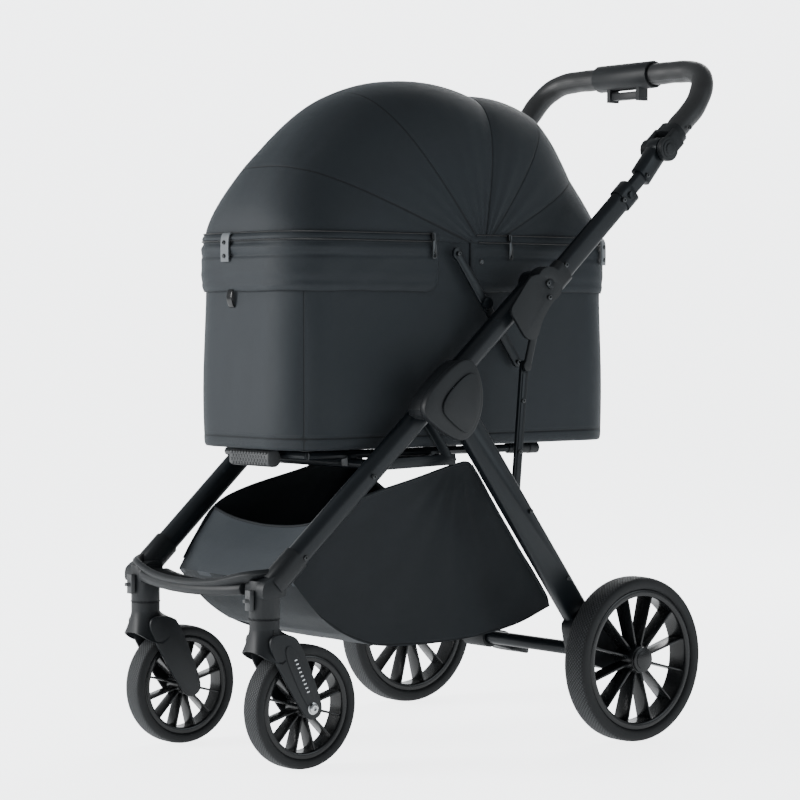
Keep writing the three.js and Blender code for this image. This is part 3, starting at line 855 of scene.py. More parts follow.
def rim_band(name, s0, s1, folds):
    length = s1 - s0

    def place(u, v):
        s = s0 + length * u
        end = min(u, 1 - u) * length
        low = 653.0 + (24 * (1 - math.sqrt(max(0.0, 1 - ((24 - end) / 24) ** 2))) if end < 24 else 0)
        low += 1.6 * ripple(s / 60, 0, 0, 1.0, 2.0)
        z = low + (734.5 - low) * v
        level = (z - 653) / 81.5
        x, y, nx, ny = plan(s)
        puff = max(0.0, math.sin(math.pi * min(1, max(0, level)))) ** 0.5
        crease = sum(d * math.exp(-(((level - c + 0.012 * ripple(s / 45, c * 9, 0, 1, 4)) / w) ** 2)) for c, d, w in folds)
        ahead = math.exp(-((s / 150) ** 2))
        depth = (0.7 + 0.5 * ripple(s / 70, level * 3, 0, 1.0, 7.0)) * (1 + 1.7 * ahead)
        edge = min(1.0, end / 5) ** 0.5
        grow = 1.6 + ((2.9 + 2.4 * ahead) * puff + crease * depth + 0.9 * ripple(s / 45, level * 4, 0, 1, 1)) * edge
        return at(x + nx * max(grow, 0.9), y + ny * max(grow, 0.9), z)

    def seam(u, v):
        end = min(u, 1 - u) * length
        return min(v * 80, end, abs(v - 0.86) * 80 + 0.3) * MM

    piece = surface(name, max(24, int(length / 5)), 44, place, (length * MM, 0.081), seam)
    outward(piece, at(0, (TUB_FRONT + TUB_REAR) / 2, 690))
    thick(piece, 1.2)
    return paint(smooth(cleaned(piece), 60), CLOTH)


FOLDS = [(0.93, 1.2, 0.035), (0.84, -1.3, 0.03), (0.75, 0.9, 0.04), (0.62, -1.2, 0.035), (0.3, 0.5, 0.08), (0.1, 0.9, 0.05)]
front_way = way_to(-262)
rear_way = way_to(-203)
front_band = rim_band("rim_band_cloth_front", front_way - 2 * front_way, front_way, FOLDS)
rear_band = rim_band("rim_band_cloth_rear", rear_way, GIRTH - rear_way, FOLDS)
for piece, node in ((front_band, "rim_band_front"), (rear_band, "rim_band_rear")):
    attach(piece, "carrier")
    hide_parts(node)
    declare_cut(piece, [tub])
print("front band", round(2 * front_way), "mm, rear band", round(GIRTH - 2 * rear_way), "mm")

# %% [markdown]
# ## Zips, pulls and straps
# A zip is two rows of coil on a tape. At this size each row is a thin ribbed cord that follows the rim. The
# pull is a die-cast slider with a loop-ended tab. The straps are leatherette tongues held by rivets.


# %% Zips
def rim_line(s0, s1, z, grow, count):
    spots = []
    for i in range(count + 1):
        x, y, nx, ny = plan(s0 + (s1 - s0) * i / count)
        spots.append(at(x + nx * grow, y + ny * grow, z))
    return spots


def zip_row(name, s0, s1, z, grow):
    piece = wire(name, rim_line(s0, s1, z, grow, 90), 1.15, 420, 8, up=(0, 0, 1))
    return paint(piece, ZIP)


def zip_finish():
    finish = Finish("zip_coil", Specular_IOR_Level=0.5)
    u, _, _ = finish.axes(finish.node("TexCoord", out=2))
    coil = u.wave(0.0017)
    finish.set("Base Color", finish.mix((coil * 0.5 + 0.5).between(), grey(0.004, 0.1), grey(0.03, 0.1)))
    finish.set("Roughness", (0.42 + coil * 0.1).between())
    finish.set("Normal", finish.bump(coil, 0.0004, 0.8))
    return finish.material


ZIP = zip_finish()
zips = [
    zip_row("zip_front_upper", -front_way + 12, front_way - 12, 735.4, 2.2),
    zip_row("zip_front_lower", -front_way + 14, front_way - 14, 724.6, 4.6),
    zip_row("zip_rear_upper", rear_way + 12, GIRTH - rear_way - 12, 735.4, 2.2),
    zip_row("zip_rear_lower", rear_way + 14, GIRTH - rear_way - 14, 724.6, 4.4),
]
for piece in zips:
    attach(piece, "carrier")
print(len(zips), "zip rows")


# %% Small flat parts from an outline
def softened(points, rounds=3):
    """An outline with its corners cut again and again until they are round."""
    for _ in range(rounds):
        cut = []
        for (y0, z0), (y1, z1) in zip(points, points[1:] + points[:1]):
            cut += [(0.75 * y0 + 0.25 * y1, 0.75 * z0 + 0.25 * z1), (0.25 * y0 + 0.75 * y1, 0.25 * z0 + 0.75 * z1)]
        points = cut
    return points


def plate(name, points, x0, x1, corner=0.0, edge=0.8, steps=4):
    """An outline of (y, z) in millimetres, made thick along X; corner rounds the outline, edge its rims."""
    clear()
    bpy.ops.mesh.primitive_circle_add(vertices=len(points), radius=1, fill_type="NGON")
    piece = named(name)
    for vertex, (y, z) in zip(piece.data.vertices, points):
        vertex.co = at(x0, y, z)
    edit(piece, (bpy.ops.mesh.extrude_region_move, {"TRANSFORM_OT_translate": {"value": ((x1 - x0) * MM, 0, 0)}}),
         (bpy.ops.mesh.select_all, {"action": "SELECT"}),
         (bpy.ops.mesh.normals_make_consistent, {"inside": False}))
    if corner:
        def upright(e, mesh):
            a, b = (mesh.vertices[i].co for i in e.vertices)
            return abs((a - b).x) > 0.9 * (a - b).length
        pick(piece, "EDGE", upright)
        bpy.ops.mesh.bevel(offset=corner * MM, segments=steps, affect="EDGES")
        bpy.ops.object.mode_set(mode="OBJECT")
    if edge:
        modified(piece, "BEVEL", width=edge * MM, segments=2, limit_method="ANGLE", angle_limit=math.radians(50))
    return smooth(piece, 35)


def disc(name, spot, x0, x1, r, edge=0.6, sides=40):
    y, z = spot
    ring = [(y + r * math.cos(2 * math.pi * i / sides), z + r * math.sin(2 * math.pi * i / sides)) for i in range(sides)]
    return plate(name, ring, x0, x1, edge=edge)


def pull(name, y, side):
    x = TUB_HALF + 6
    slider = plate("slider", [(y - 3.4, 737), (y + 3.4, 737), (y + 2.6, 727), (y - 2.6, 727)], x - 2, x + 2.4, 1.2, 0.5)
    bridge = plate("bridge", [(y - 1.4, 736), (y + 1.4, 736), (y + 1.2, 724), (y - 1.2, 724)], x + 2, x + 4, 0.8, 0.4)
    tab = plate("tab", [(y - 3.6, 726), (y + 3.6, 726), (y + 4.3, 700), (y - 4.3, 700)], x + 2.2, x + 3.8, 2.2, 0.5)
    hole = disc("hole", (y, 705), x + 1.5, x + 5, 2.2, 0, 24)
    modified(tab, "BOOLEAN", object=hole, operation="DIFFERENCE")
    bpy.data.objects.remove(hole)
    piece = joined(name, [slider, bridge, tab])
    paint(piece, DARK_STEEL)
    return piece


pulls = [pull("zip_pull_front_left", -276, 1), pull("zip_pull_rear_left", -131, 1)]
pulls += [mirrored(pulls[0], "zip_pull_front_right"), mirrored(pulls[1], "zip_pull_rear_right")]
for piece in pulls:
    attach(piece, "carrier")
print(len(pulls), "zip pulls")


# %% Screws and rivets
def button(spot, r, proud, side=1, hexed=True):
    """A domed head on the outer side at (x, y, z), with a hexagon socket."""
    x, y, z = spot
    clear()
    bpy.ops.mesh.primitive_cylinder_add(vertices=24, radius=r * MM, depth=proud * MM)
    piece = named("head")
    pick(piece, "FACE", lambda f, m: f.normal.z > 0.9)
    bpy.ops.mesh.inset(thickness=r * 0.3 * MM, depth=proud * 0.35 * MM)
    bpy.ops.mesh.inset(thickness=r * 0.25 * MM, depth=0.0)
    if hexed:
        bpy.ops.mesh.inset(thickness=r * 0.02 * MM, depth=-proud * 0.7 * MM)
    bpy.ops.object.mode_set(mode="OBJECT")
    piece.rotation_euler = (0, math.pi / 2, 0)
    settled(piece)
    piece.data.transform(Matrix.Translation(at(x, y, z)))
    smooth(piece, 30)
    return piece if side > 0 else mirrored_here(piece)


def mirrored_here(piece):
    piece.data.transform(Matrix.Scale(-1, 4, (1, 0, 0)))
    piece.data.flip_normals()
    return piece


def fasteners(name, spots, body, finish, r=3.4, proud=2.0, hexed=True):
    heads = [button(s, r, proud, side, hexed) for s in spots for side in (1, -1)]
    piece = paint(joined(name, heads), finish)
    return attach(piece, body)


# %% Straps on the carrier
def tongue(name, x, y, z0, z1, nx, ny, wide, body="carrier"):
    """A leatherette tongue that lies down over the rim at (x, y), facing (nx, ny)."""
    lean = [(2.4, z1 + 4), (6.5, z1 + 3), (9.2, z1 - 4), (9.8, (z0 + z1) / 2), (9.6, z0 + 6), (9.2, z0)]
    spots = [at(x + nx * d, y + ny * d, z) for d, z in lean]
    across = (-ny, nx, 0)
    piece = band(name, spots, 2.6, wide, 30, up=across)
    heads = []
    for z in (z1 - 9, z0 + 8):
        head = button((0, 0, 0), 3.0, 1.8, 1, z > z0 + 20)
        head.data.transform(Matrix.Translation(-at(0, 0, 0)))
        head.data.transform(Matrix.Rotation(math.atan2(ny, nx), 4, "Z"))
        head.data.transform(Matrix.Translation(at(x + nx * 11.6, y + ny * 11.6, z)))
        heads.append(head)
    paint(piece, STRAP)
    heads = paint(joined(name + "_snaps", heads), DARK_STEEL)
    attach(piece, body)
    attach(heads, body)
    return piece


for name, s in (("strap_front", GIRTH - 24), ("strap_rear_left", way_to(58)), ("strap_rear_right", GIRTH - way_to(58))):
    x, y, nx, ny = plan(s)
    tongue(name, x, y, 695, 731, nx, ny, 19)
for name, s in (("loop_tab", GIRTH - 18),):
    x, y, nx, ny = plan(s)
    spots = [at(x + nx * d, y + ny * d, z) for d, z in ((0.4, 658), (5.0, 653), (6.4, 643), (3.4, 633), (0.2, 631))]
    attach(paint(band(name, spots, 1.6, 12, 24, up=(-ny, nx, 0)), GLOSS), "carrier")
fasteners("rim_snaps", [(TUB_HALF + 4.2, -184, 697)], "carrier", DARK_STEEL, 4.0, 2.2, False)
print("straps and tabs")

# %% [markdown]
# ## The basket
# The basket is one bag of cloth hung between the tubes: two sides, a floor that turns up into a front panel
# and a back panel, with a hem along every free edge. Its sides hollow slightly between the places it hangs
# from, and creases run down from its corners.

# %% Basket panels
BASKET_FLOOR = [(-464, 339), (-498, 297), (-526, 254), (-506, 231), (-478, 203), (-438, 177), (-380, 157), (-290, 152),
                (-197, 156), (-118, 168), (-52, 190), (-57, 206), (-99, 262), (-150, 330), (-203, 405)]
BASKET_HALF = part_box("storage_basket")[1].x / MM - 1.2


def basket_strip(u, v):
    line = np.array(BASKET_FLOOR, float)
    steps = np.concatenate([[0], np.cumsum(np.hypot(*np.diff(line, axis=0).T))])
    way = steps[-1] * v
    y, z = (float(np.interp(way, steps, line[:, k])) for k in (0, 1))
    w = 2 * u - 1
    front = max(0.0, 1 - way / steps[2])
    rear = max(0.0, (way - steps[11]) / (steps[-1] - steps[11]))
    z -= 19 * (1 - w * w) * front ** 1.2 + 58 * (1 - w * w) * rear ** 1.5
    y -= 12 * (1 - w * w) * math.sin(math.pi * min(1, way / steps[4])) * (way < steps[4])
    sag = 3.5 * (1 - w * w) * (steps[5] < way < steps[10])
    z += sag * -0.6 + 1.6 * ripple(w * 2, y / 60, z / 60, 1.0, 2.0)
    return at(w * BASKET_HALF, y, z)


def rounded_line(points, count=60):
    spots, _ = path_points([(0, y, z) for y, z in points], count)
    return np.array([(p.y, p.z) for p in spots])


SIDE_LINES = [
    rounded_line([(-526, 254), (-506, 231), (-478, 203), (-438, 177), (-380, 157), (-290, 152), (-197, 156), (-118, 168), (-52, 190)]),
    rounded_line([(-524, 258), (-498, 298), (-462, 342), (-409, 365), (-310, 388), (-228, 407), (-203, 400), (-150, 325), (-54, 194)]),
]
SIDE_SHARES = np.linspace(0, 1, len(SIDE_LINES[0]))


def basket_side_line(w):
    """Lower and upper (y, z) of the side panel at a share w from front to rear."""
    return [[float(np.interp(w, SIDE_SHARES, line[:, i])) for i in (0, 1)] for line in SIDE_LINES]


def basket_side(u, v):
    (y0, z0), (y1, z1) = basket_side_line(u)
    y, z = y0 + (y1 - y0) * v, z0 + (z1 - z0) * v
    hollow = math.sin(math.pi * v) * math.sin(math.pi * u)
    free = min(1.0, 2.5 * hollow)
    rear_pull = math.exp(-(((y + 217) / 90) ** 2)) * v
    fan = math.sin(math.atan2(z - 420, y + 230) * 17)
    x = BASKET_HALF - 4 * hollow + 3.4 * ripple(y / 90, z / 120, 0, 1.0, 6.0) * free
    x += (2.0 * rear_pull * fan + 1.2 * ripple(y / 34, z / 60, 0, 1.0, 2.0)) * free
    return at(x, y, z)


def basket_edge(u, v):
    return min(v, 1 - v) * 0.14 + 0.002


strip = surface("basket_strip", 40, 110, basket_strip, (0.274, 0.9), lambda u, v: min(u, 1 - u) * 0.27)
outward(strip, at(0, -300, 300))
thick(strip, 1.4)
side = surface("basket_side_left", 90, 36, basket_side, (0.48, 0.2), basket_edge)
outward(side, at(0, -300, 250))
thick(side, 1.4)
sides = [cleaned(side), mirrored(side, "basket_side_right")]
paint(smooth(cleaned(strip), 60), BASKET_CLOTH)
strip.data.materials.append(BASKET_FRONT_PAINTED_LIGHT_CLOTH)
# Faces of the front panel take the lighter copy: painted light on the side that faces the key light.
for face in strip.data.polygons:
    face.material_index = int((face.center.y - AXLE_Y) / MM < -458 and face.center.z > 0.252)
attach(strip, "frame")
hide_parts("storage_basket")
for piece in sides:
    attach(paint(smooth(piece, 60), BASKET_CLOTH), "frame")
    declare_cut(piece, ["main_tube_body_left", "main_tube_body_right"], "basket_side_left")
declare_cut(strip, sides)


# %% Basket hems
def hem(name, rule, n=60):
    return paint(wire(name, [rule(i / n) for i in range(n + 1)], 2.1, 120, 10, up=(0, 0, 1)), BASKET_CLOTH)


hems = [hem("hem_front", lambda t: basket_strip(0.01 + 0.98 * t, 0)), hem("hem_rear", lambda t: basket_strip(0.01 + 0.98 * t, 1)),
        hem("hem_left", lambda t: basket_side(0.02 + 0.96 * t, 1))]
hems.append(mirrored(hems[-1], "hem_right"))
for piece in hems:
    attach(piece, "frame")
print("basket", len(strip.data.polygons) + 2 * len(side.data.polygons), "faces")

# %% [markdown]
# ## Wheels
# Each wheel is a foam tyre on a moulded rim. The rim's twelve spokes are thin plates that stand across the
# wheel, so from the side some look wide and some vanish. A torus gives the tyre and the rim's ring their
# roundness, and each point's place in the section is then moved onto the real section.


# %% Rings
def ring(name, centre, outer, inner, width, square_in, square_out, major=112, minor=28):
    middle, deep = (outer + inner) / 2, (outer - inner) / 2
    clear()
    bpy.ops.mesh.primitive_torus_add(major_segments=major, minor_segments=minor, major_radius=middle * MM,
                                     minor_radius=deep * MM, rotation=(0, math.pi / 2, 0))
    piece = settled(named(name))
    for v in piece.data.vertices:
        r, a = math.hypot(v.co.y, v.co.z) / MM, math.atan2(v.co.z, v.co.y)
        c, s = (r - middle) / deep, v.co.x / MM / deep
        power = square_out if c > 0 else square_in
        c = math.copysign(abs(c) ** power, c)
        s = math.copysign(min(1.0, abs(s)) ** square_out, s)
        r = middle + deep * c
        v.co = Vector((s * width / 2 * MM, r * math.cos(a) * MM, r * math.sin(a) * MM)) + Vector(centre)
    piece.data.update()
    return smooth(cleaned(piece), 50)


def rim(name, centre, outer, inner, width, hub, capped):
    parts = [ring("ring", centre, outer, inner, width, 0.3, 0.3, 112, 24)]
    clear()
    long = inner - hub + 6
    bpy.ops.mesh.primitive_cube_add(size=1, location=(0, 0, (hub - 3 + long / 2) * MM), scale=(width * 0.8 * MM, 3.0 * MM, long * MM))
    spoke = settled(named("spoke"))
    for v in spoke.data.vertices:
        out = (v.co.z / MM - hub) / long
        v.co.x *= 0.82 + 0.22 * out
        v.co.y *= 1.25 - 0.4 * out
    modified(spoke, "BEVEL", width=0.8 * MM, segments=2)
    smooth(spoke, 35)
    for i in range(12):
        blade = copied(spoke, f"spoke_{i}")
        turn = Matrix.Rotation(2 * math.pi * (i + 0.5) / 12, 4, "X")
        blade.data.transform(Matrix.Translation(Vector(centre)) @ turn)
        parts.append(blade)
    bpy.data.objects.remove(spoke)
    spot = ((centre[1] - AXLE_Y) / MM, centre[2] / MM)
    x = centre[0] / MM
    parts.append(disc("hub", spot, x - width / 2 - 0.5, x + width / 2 + 1.0, hub, 1.4, 48))
    if capped:
        parts.append(disc("hub_step", spot, x + width / 2 + 1.0, x + width / 2 + 4.2, hub * 0.93, 1.6, 48))
        cap = disc("hub_cap", spot, x + width / 2 + 4.2, x + width / 2 + 5.4, hub * 0.66, 0.5, 48)
        parts.append(cap)
    return paint(joined(name, parts), GLOSS)


def wheel(kind, centre, radius, inner, width, lip, hub, rubber, capped):
    tyre = paint(ring(f"{kind}_tyre_rubber_left", centre, radius / MM, inner, width, 0.55, 0.62), rubber)
    hubs = rim(f"{kind}_wheel_rim_left", centre, inner + 2.0, lip, width * 0.84, hub, capped)
    for piece, node, slot in ((tyre, f"{kind}_tyre", "tyre_rubber"), (hubs, f"{kind}_rim", "gloss_plastic")):
        for side, one in (("left", piece), ("right", mirrored(piece, piece.name.replace("left", "right")))):
            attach(one, f"{kind}_wheel_{side}")
            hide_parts(f"{node}_{side}")
    print(kind, "wheel", len(tyre.data.polygons) + len(hubs.data.polygons), "faces")


wheel("rear", REAR, REAR_R, 101, 43, 91.5, 20, REAR_RUBBER, True)
wheel("front", FRONT, FRONT_R, 70, 36, 62, 14, FRONT_RUBBER, False)

# %% [markdown]
# ## Hard parts
# The moulded joints and tubes have the right shape already, with sharp machine edges. A real moulding has
# small radii that catch the light, so a merged copy of each part gets its flat faces joined and its edges
# rounded, and then stands in for the part.


# %% Rounded copies
def refined(node, finish, slot, edge=0.9, degrees=40):
    piece = copied(nodes[node], node.replace("_left", "_body_left").replace("_right", "_body_right") if "_left" in node or "_right" in node else node + "_body")
    piece.parent = None
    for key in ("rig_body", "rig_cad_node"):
        if key in piece:
            del piece[key]
    piece.matrix_world = Matrix.Identity(4)
    edit(piece, (bpy.ops.mesh.remove_doubles, {"threshold": 2e-5}), (bpy.ops.mesh.dissolve_limited, {"angle_limit": math.radians(2)}))
    if edge:
        modified(piece, "BEVEL", width=edge * MM, segments=2, limit_method="ANGLE", angle_limit=math.radians(degrees))
    paint(smooth(piece, degrees - 4), finish)
    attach(piece, nodes[node]["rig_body"])
    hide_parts(node)
    return piece


PARTS = [
    ("main_tube", TUBE, "frame_paint", 0.6), ("caster_housing", PLASTIC, "black_plastic", 1.2),
    ("swivel_lock", LIGHT_PLASTIC, "black_plastic", 0.8),
    ("rear_leg", TUBE, "frame_paint", 0.8),
    ("rear_foot", PLASTIC, "black_plastic", 1.4),
    ("fold_casing", PLASTIC, "black_plastic", 1.2), ("upper_tube", TUBE, "frame_paint", 0.9),
    ("handle_slider", TUBE, "frame_paint", 1.0), ("handle_arm", PLASTIC, "black_plastic", 1.4),
    ("angle_button", PLASTIC, "black_plastic", 1.0), ("carrier_arm", TUBE, "frame_paint", 0.7),
]
for part, finish, slot, edge in PARTS:
    for side in ("left", "right"):
        refined(f"{part}_{side}", finish, slot, edge)
for part, finish, slot, edge in (("footrest_bar", PLASTIC, "black_plastic", 1.6), ("axle_bar", TUBE, "frame_paint", 0.5),
                                 ("brake_pedal", PLASTIC, "black_plastic", 1.2), ("platform_frame", TUBE, "frame_paint", 0.5),
                                 ("release_grip", LIGHT_PLASTIC, "black_plastic", 2.2), ("grip_module", PLASTIC, "black_plastic", 1.2),
                                 ("handle_trigger", PLASTIC, "black_plastic", 1.5), ("base_board", PLASTIC, "black_plastic", 0.8)):
    refined(part, finish, slot, edge)
print("rounded copies made")

# %% [markdown]
# ## The grip
# The handle's tube is covered in foam and leatherette, pulled round the bend and closed with a pale double
# row of stitches. It is one sweep along the handle's own line, so the stitching can follow it.

# %% Make the grip
RISE = joints["handle_height"]["axis"][1:]
KNUCKLE = side_view("handle_angle")


def along(start, distance):
    return start[0] + RISE[0] * distance, start[1] + RISE[1] * distance


BAR = (238, 997)
half = [(191.5, *along(KNUCKLE, 42.5)), (191.5, *along(KNUCKLE, 62)), (190, 194, 935), (185, 215, 963), (171, 229, 983),
        (147, 236, 994), (112, *BAR), (70, *BAR)]
line = [at(*p) for p in half] + [at(0, *BAR)] + [at(-x, y, z) for x, y, z in reversed(half)]


def grip_section(u, angle):
    end = min(u, 1 - u)
    r = 17.0 - 1.6 * math.exp(-((end / 0.012) ** 2)) + 0.25 * math.sin(u * 90)
    return r * MM * math.cos(angle), r * MM * math.sin(angle)


grip = paint(sweep("grip_cover", line, grip_section, 200, 36, up=(1, 0, 0)), LEATHER)
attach(grip, "grip")
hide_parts("handle_grip")
print("grip", len(grip.data.polygons), "faces")

# %% [markdown]
# ## Ribs, bumps, slots and heads
# These are the small moulded details: ribs on the footrest, bumps on the release grip, a row of slots down
# each fork, the end caps of the platform's rods, and the screw heads along the tubes.

# %% Footrest ribs and release grip bumps
ribs = []
for i in range(34):
    t = -0.93 + 1.86 * i / 33
    bow = 1 - t * t
    y, z = -580 - 14 * bow, 250 - 7 * bow
    path = [at(t * 124, y - 12, z + 6.5), at(t * 124, y + 4, z + 8.4), at(t * 124, y + 22, z + 6.5)]
    ribs.append(wire(f"rib_{i}", path, 1.3, 6, 8))
ribs = paint(joined("footrest_ribs", ribs), PLASTIC)
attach(ribs, "frame")

lip_path = [(-152, -560, 270), (-150, -584, 270), (-128, -602, 266), (-70, -611, 254), (0, -614, 250), (70, -611, 254),
            (128, -602, 266), (150, -584, 270), (152, -560, 270)]
lip = band("footrest_lip", [at(*q) for q in lip_path], 14, 9, 80, up=(0, -1, 0))
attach(paint(lip, PLASTIC), "frame")

low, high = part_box("release_grip")
bumps = []
for row in range(4):
    for column in range(13 if row % 2 else 12):
        x = -40.5 + column * 6.75 + (0 if row % 2 else 3.4)
        clear()
        bpy.ops.mesh.primitive_uv_sphere_add(segments=12, ring_count=6, radius=2.9 * MM)
        bump = named("bump")
        bump.data.transform(Matrix.Diagonal((1, 0.55, 0.8, 1)))
        bump.data.transform(Matrix.Translation((x * MM, low.y + 0.0002, low.z + (4.2 + row * 5.0) * MM)))
        bumps.append(smooth(bump, 60))
bumps = paint(joined("release_bumps", bumps), LIGHT_PLASTIC)
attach(bumps, "release_grip")
print(len(ribs.data.polygons), "rib faces,", len(bumps.data.polygons), "bump faces")


# %% Fork slots and bolts
def both(name, parts, finish, bodies):
    left = paint(joined(name + "_left", parts), finish)
    right = mirrored(left, name + "_right")
    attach(left, bodies[0])
    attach(right, bodies[1])
    return left, right


FORK_BODIES = ("caster_left", "caster_right")
fork_x = 171.0
STEM_X, STEM_Y = 144.0, -580.0


def crown(u, v):
    """The moulding that spreads from the round stem to a saddle over the tyre."""
    turn = 2 * math.pi * u
    c, d = math.cos(turn), math.sin(turn)
    share = v ** 1.4
    low = 160 + 22 * max(0.0, d) + 7 * max(0.0, -d) * (1 - c * c) - 10 * c * c * (1 - abs(d))
    x = 20.6 * c * (1 - share) + 30 * math.copysign(abs(c) ** 0.6, c) * share
    middle = -580 * (1 - share) - 571 * share
    y = middle + 20.6 * d * (1 - share) + 36 * math.copysign(abs(d) ** 0.75, d) * share
    z = 196 + (low - 196) * v
    return at(STEM_X + x, y, z)


saddle = surface("saddle", 48, 14, crown, (0.16, 0.04))
outward(saddle, at(STEM_X, STEM_Y, 150))
saddle = smooth(cleaned(thick(saddle, 2.6)), 50)
stem = wire("stem", [at(STEM_X, STEM_Y, z) for z in (208.6, 207.6, 196, 186, 178)], 20.6, 4, 40, straight=True)
ARM = [(-594, 190), (-552, 190), (-536, 170), (-505, 98), (-503, 76), (-521, 68), (-536, 78), (-586, 158)]
arms = [plate("arm", softened(ARM), x, x + 4.6, edge=1.2) for x in (fork_x - 2.4, 117 - 2.2)]
RIDGE = [(-573, 172), (-550, 176), (-518, 98), (-523, 88), (-535, 94)]
ridges = [plate("ridge", softened(RIDGE), fork_x + 2.0, fork_x + 3.6, edge=0.8)]
spot = ((FRONT[1] - AXLE_Y) / MM, FRONT[2] / MM)
pin = disc("pin", spot, 117, 171, 5.0)
forks = both("fork_shell", [saddle, stem, *arms, *ridges, pin], PLASTIC, FORK_BODIES)
for piece, side in zip(forks, ("left", "right")):
    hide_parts(f"caster_fork_{side}")
slots = []
for i in range(9):
    y, z = -549.5 + i * 2.6, 154 - i * 5.6
    slots.append(plate(f"slot_{i}", [(y - 2.2, z - 1.4), (y + 2.2, z - 0.2), (y + 1.8, z + 1.6), (y - 2.6, z + 0.4)],
                       fork_x + 3.4, fork_x + 4.0, 0.4, 0.2))
both("fork_slots", slots, STEEL, FORK_BODIES)
spot = ((FRONT[1] - AXLE_Y) / MM, FRONT[2] / MM)
bolt = [disc("washer", spot, fork_x + 2.0, fork_x + 3.2, 8.4, 0.4), button((fork_x + 4.4, *spot), 6.6, 3.6)]
both("fork_bolt", bolt, STEEL, FORK_BODIES)

# %% Seams, clamps and caps
seam_rings = [wire("seam", [at(144 + 21.3 * math.cos(a), -580 + 21.3 * math.sin(a), 210) for a in np.linspace(0, 2 * math.pi, 25)], 0.5, 48, 6, up=(0, 0, 1))]
both("housing_seam", seam_rings, PLASTIC, ("frame", "frame"))
HUB = side_view("leg_fold")
HUB_FACE = [(-296, 560), (-262, 556), (-246, 493), (-278, 438), (-326, 456), (-374, 492)]
HUB_LENS = [(-286, 540), (-262, 538), (-257, 496), (-277, 451), (-302, 462), (-338, 493)]
face = plate("face", softened(HUB_FACE), 205, 217.5, edge=3.0)
lens_cap = plate("lens", softened(HUB_LENS), 216.8, 221.0, edge=1.6)
wrap = plate("wrap", softened([(-370, 488), (-294, 558), (-272, 553), (-312, 508), (-330, 468)], 2), 178, 212, edge=2.0)
pin = disc("pin", HUB, 176, 212, 8)
covers = both("hub_cap_plate", [face, lens_cap, wrap, pin], PLASTIC, ("frame", "frame"))
for piece, side in zip(covers, ("left", "right")):
    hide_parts(f"hub_cover_{side}")
STRUT_TOP, STRUT_LOW = side_view("strut_swing"), (-166.0, 324.0)


def bar(name, half_width, x0, x1, beyond, corner):
    """A flat bar between the strut's two pivots."""
    top, low = Vector(STRUT_TOP), Vector(STRUT_LOW)
    ahead = (low - top).normalized()
    out = Vector((-ahead.y, ahead.x)) * half_width
    a, b = top - ahead * beyond, low + ahead * beyond
    return plate(name, [tuple(a + out), tuple(b + out), tuple(b - out), tuple(a - out)], x0, x1, corner, 0.6)


struts = both("strut_bar", [bar("bar", 7, 181.9, 186.9, 8, 6), bar("fillet", 4.0, 186.5, 188.0, -10, 2)], TUBE, ("struts", "struts"))
for piece, side in zip(struts, ("left", "right")):
    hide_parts(f"strut_{side}")
print("strut pivots", [round(v, 1) for v in STRUT_TOP], STRUT_LOW)
collar = disc("collar", KNUCKLE, 205, 214.6, 18.4, 1.8)
ring_in = disc("inner", KNUCKLE, 214, 216.0, 13.8, 0.8)
both("angle_collar", [collar, ring_in], PLASTIC, ("grip", "grip"))
ends = [wire("end", [at(95, -94, 424), at(95, -42, 423)], 8.2, 6, 24), wire("end2", [at(95, -60, 424), at(95, -52, 424)], 9.2, 4, 24)]
both("rod_cap", ends, PLASTIC, ("frame", "frame"))

# %% Screw heads
fasteners("frame_screws", [(169.6, -529, 291), (183.5, -250, 543.5), (176, -415, 397), (147.5, -237, 708), (147, -123, 552)], "frame", DARK_STEEL)
fasteners("leg_screws", [(219.5, -163, 340), (224.0, -95, 240)], "rear_frame", DARK_STEEL, 3.2, 1.8)
fasteners("handle_screws", [(205.2, -118, 666), (205.2, -115, 646), (203.4, -81, 693), (205.4, 33, 790)], "handle", DARK_STEEL, 3.8, 2.2)
fasteners("slider_screws", [(204.4, 82, 828)], "slider", DARK_STEEL, 3.4, 2.0)
fasteners("grip_screws", [(214.2, 161, 902)], "grip", DARK_STEEL, 3.4, 2.0)
fasteners("strut_screws", [(188.6, -150.5, 497), (188.6, -157, 424)], "struts", DARK_STEEL, 3.2, 1.8)
print("screw heads")

# %% [markdown]
# ## The mat
# The floor cushion is hidden by the hood when the stroller is closed. It is a thin slab blown up a little by
# a short cloth simulation, so that its top crowns and its edges round over, with its points held to a few
# millimetres of travel.

# %% Make the mat
mat_low, mat_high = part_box("carrier_mat")
mat = copied(nodes["carrier_mat"], "mat_cushion")
mat.parent = None
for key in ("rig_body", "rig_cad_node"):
    if key in mat:
        del mat[key]
middle = (mat_low + mat_high) / 2
for v in mat.data.vertices:
    v.co = middle + Vector([(v.co - middle)[k] * (0.97, 0.985, 0.72)[k] for k in range(3)])
edit(mat, (bpy.ops.mesh.remove_doubles, {"threshold": 2e-5}))
modified(mat, "REMESH", mode="VOXEL", voxel_size=0.0055)
start = np.array([v.co for v in mat.data.vertices])
only(mat)
blow = mat.modifiers.new("Cloth", "CLOTH")
blow.settings.use_pressure = True
blow.settings.uniform_pressure_force = 4
blow.settings.effector_weights.gravity = 0
blow.settings.quality = 4
for number in range(1, 16):
    scene.frame_set(number)
bpy.ops.object.modifier_apply(modifier=blow.name)
scene.frame_set(1)
moved = np.array([v.co for v in mat.data.vertices]) - start
far = np.linalg.norm(moved, axis=1)[:, None]
moved *= np.minimum(1, 0.006 / np.maximum(far, 1e-9))
start = start + moved
start[:, 2] = np.clip(start[:, 2], mat_low.z, None)
for v, spot in zip(mat.data.vertices, start):
    v.co = spot
modified(mat, "SMOOTH", factor=0.5, iterations=4)
modified(mat, "SUBSURF", levels=1, render_levels=1)
paint(smooth(mat, 60), MAT_CLOTH)
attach(mat, "carrier")
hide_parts("carrier_mat")
print("mat", len(mat.data.polygons), "faces")

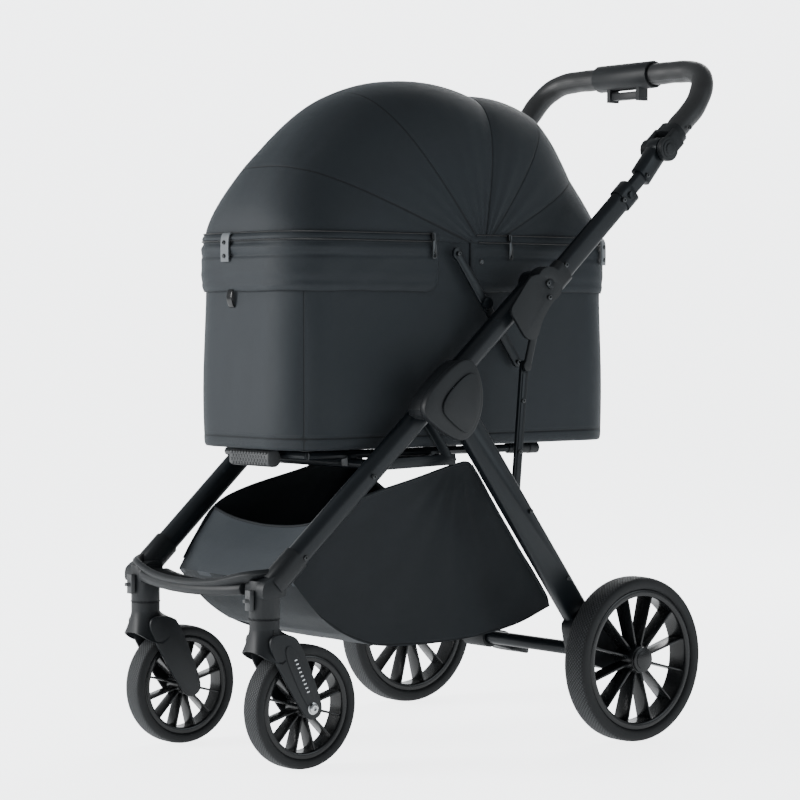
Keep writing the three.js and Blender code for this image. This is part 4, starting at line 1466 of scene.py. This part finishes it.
# %% [markdown]
# ## Light and floor
# The floor is a pale sheet that curves up behind the stroller. The key light is large and stands in front
# and to the left of the camera, so the carrier's front panel is the brightest and its side falls into shade.

# %% Studio
view = (AIM - EYE)
view.z = 0
view.normalize()
across = Vector((-view.y, view.x, 0))


def backdrop(u, v):
    way = -4.0 + 11.0 * v
    bend = max(0.0, way - 3.0)
    rise = 2.0 * (1 - math.cos(min(bend / 2.0, math.pi / 2))) + max(0.0, bend - math.pi)
    run = min(way, 3.0) + 2.0 * math.sin(min(bend / 2.0, math.pi / 2))
    return view * run + across * (u - 0.5) * 14 + Vector((0, 0, rise - 0.0005))


floor = surface("studio_floor", 8, 120, backdrop, (14, 11))
if sum(p.normal.z for p in floor.data.polygons) < 0:
    floor.data.flip_normals()
smooth(floor, 60)
pale = Finish("studio_white", Roughness=0.9, Specular_IOR_Level=0.1, Emission_Strength=1.0)
seen = pale.node("LightPath")
pale.set("Emission Color", pale.mix(seen, (0.92, 0.94, 0.95, 1.0), (3.6, 3.65, 3.7, 1.0)))
dust = pale.noise(pale.place(), 3.0)
pale.set("Base Color", pale.mix(dust * 0.3, (0.93, 0.94, 0.95, 1), (0.9, 0.91, 0.92, 1)))
paint(floor, pale.material)

world = bpy.data.worlds.new("studio")
scene.world = world
world.use_nodes = True
world.node_tree.nodes["Background"].inputs[0].default_value = (0.93, 0.97, 1.0, 1.0)
world.node_tree.nodes["Background"].inputs[1].default_value = 0.36


def lamp(name, place, target, size, watts, tint=(1, 1, 1)):
    light = bpy.data.lights.new(name, "AREA")
    light.size = size
    light.energy = watts
    light.color = tint
    o = bpy.data.objects.new(name, light)
    scene.collection.objects.link(o)
    o.location = place
    o.rotation_euler = (Vector(target) - Vector(place)).to_track_quat("-Z", "Y").to_euler()


lamp("key", (-1.6, -3.2, 1.5), (0, -0.1, 0.6), 1.6, 140)
lamp("fill", (3.0, 1.8, 1.3), (0, 0.1, 0.5), 1.4, 15, (0.86, 0.95, 1.0))
lamp("rim", (-1.5, 2.6, 2.2), (0, 0, 0.7), 1.6, 45)
print("studio ready")
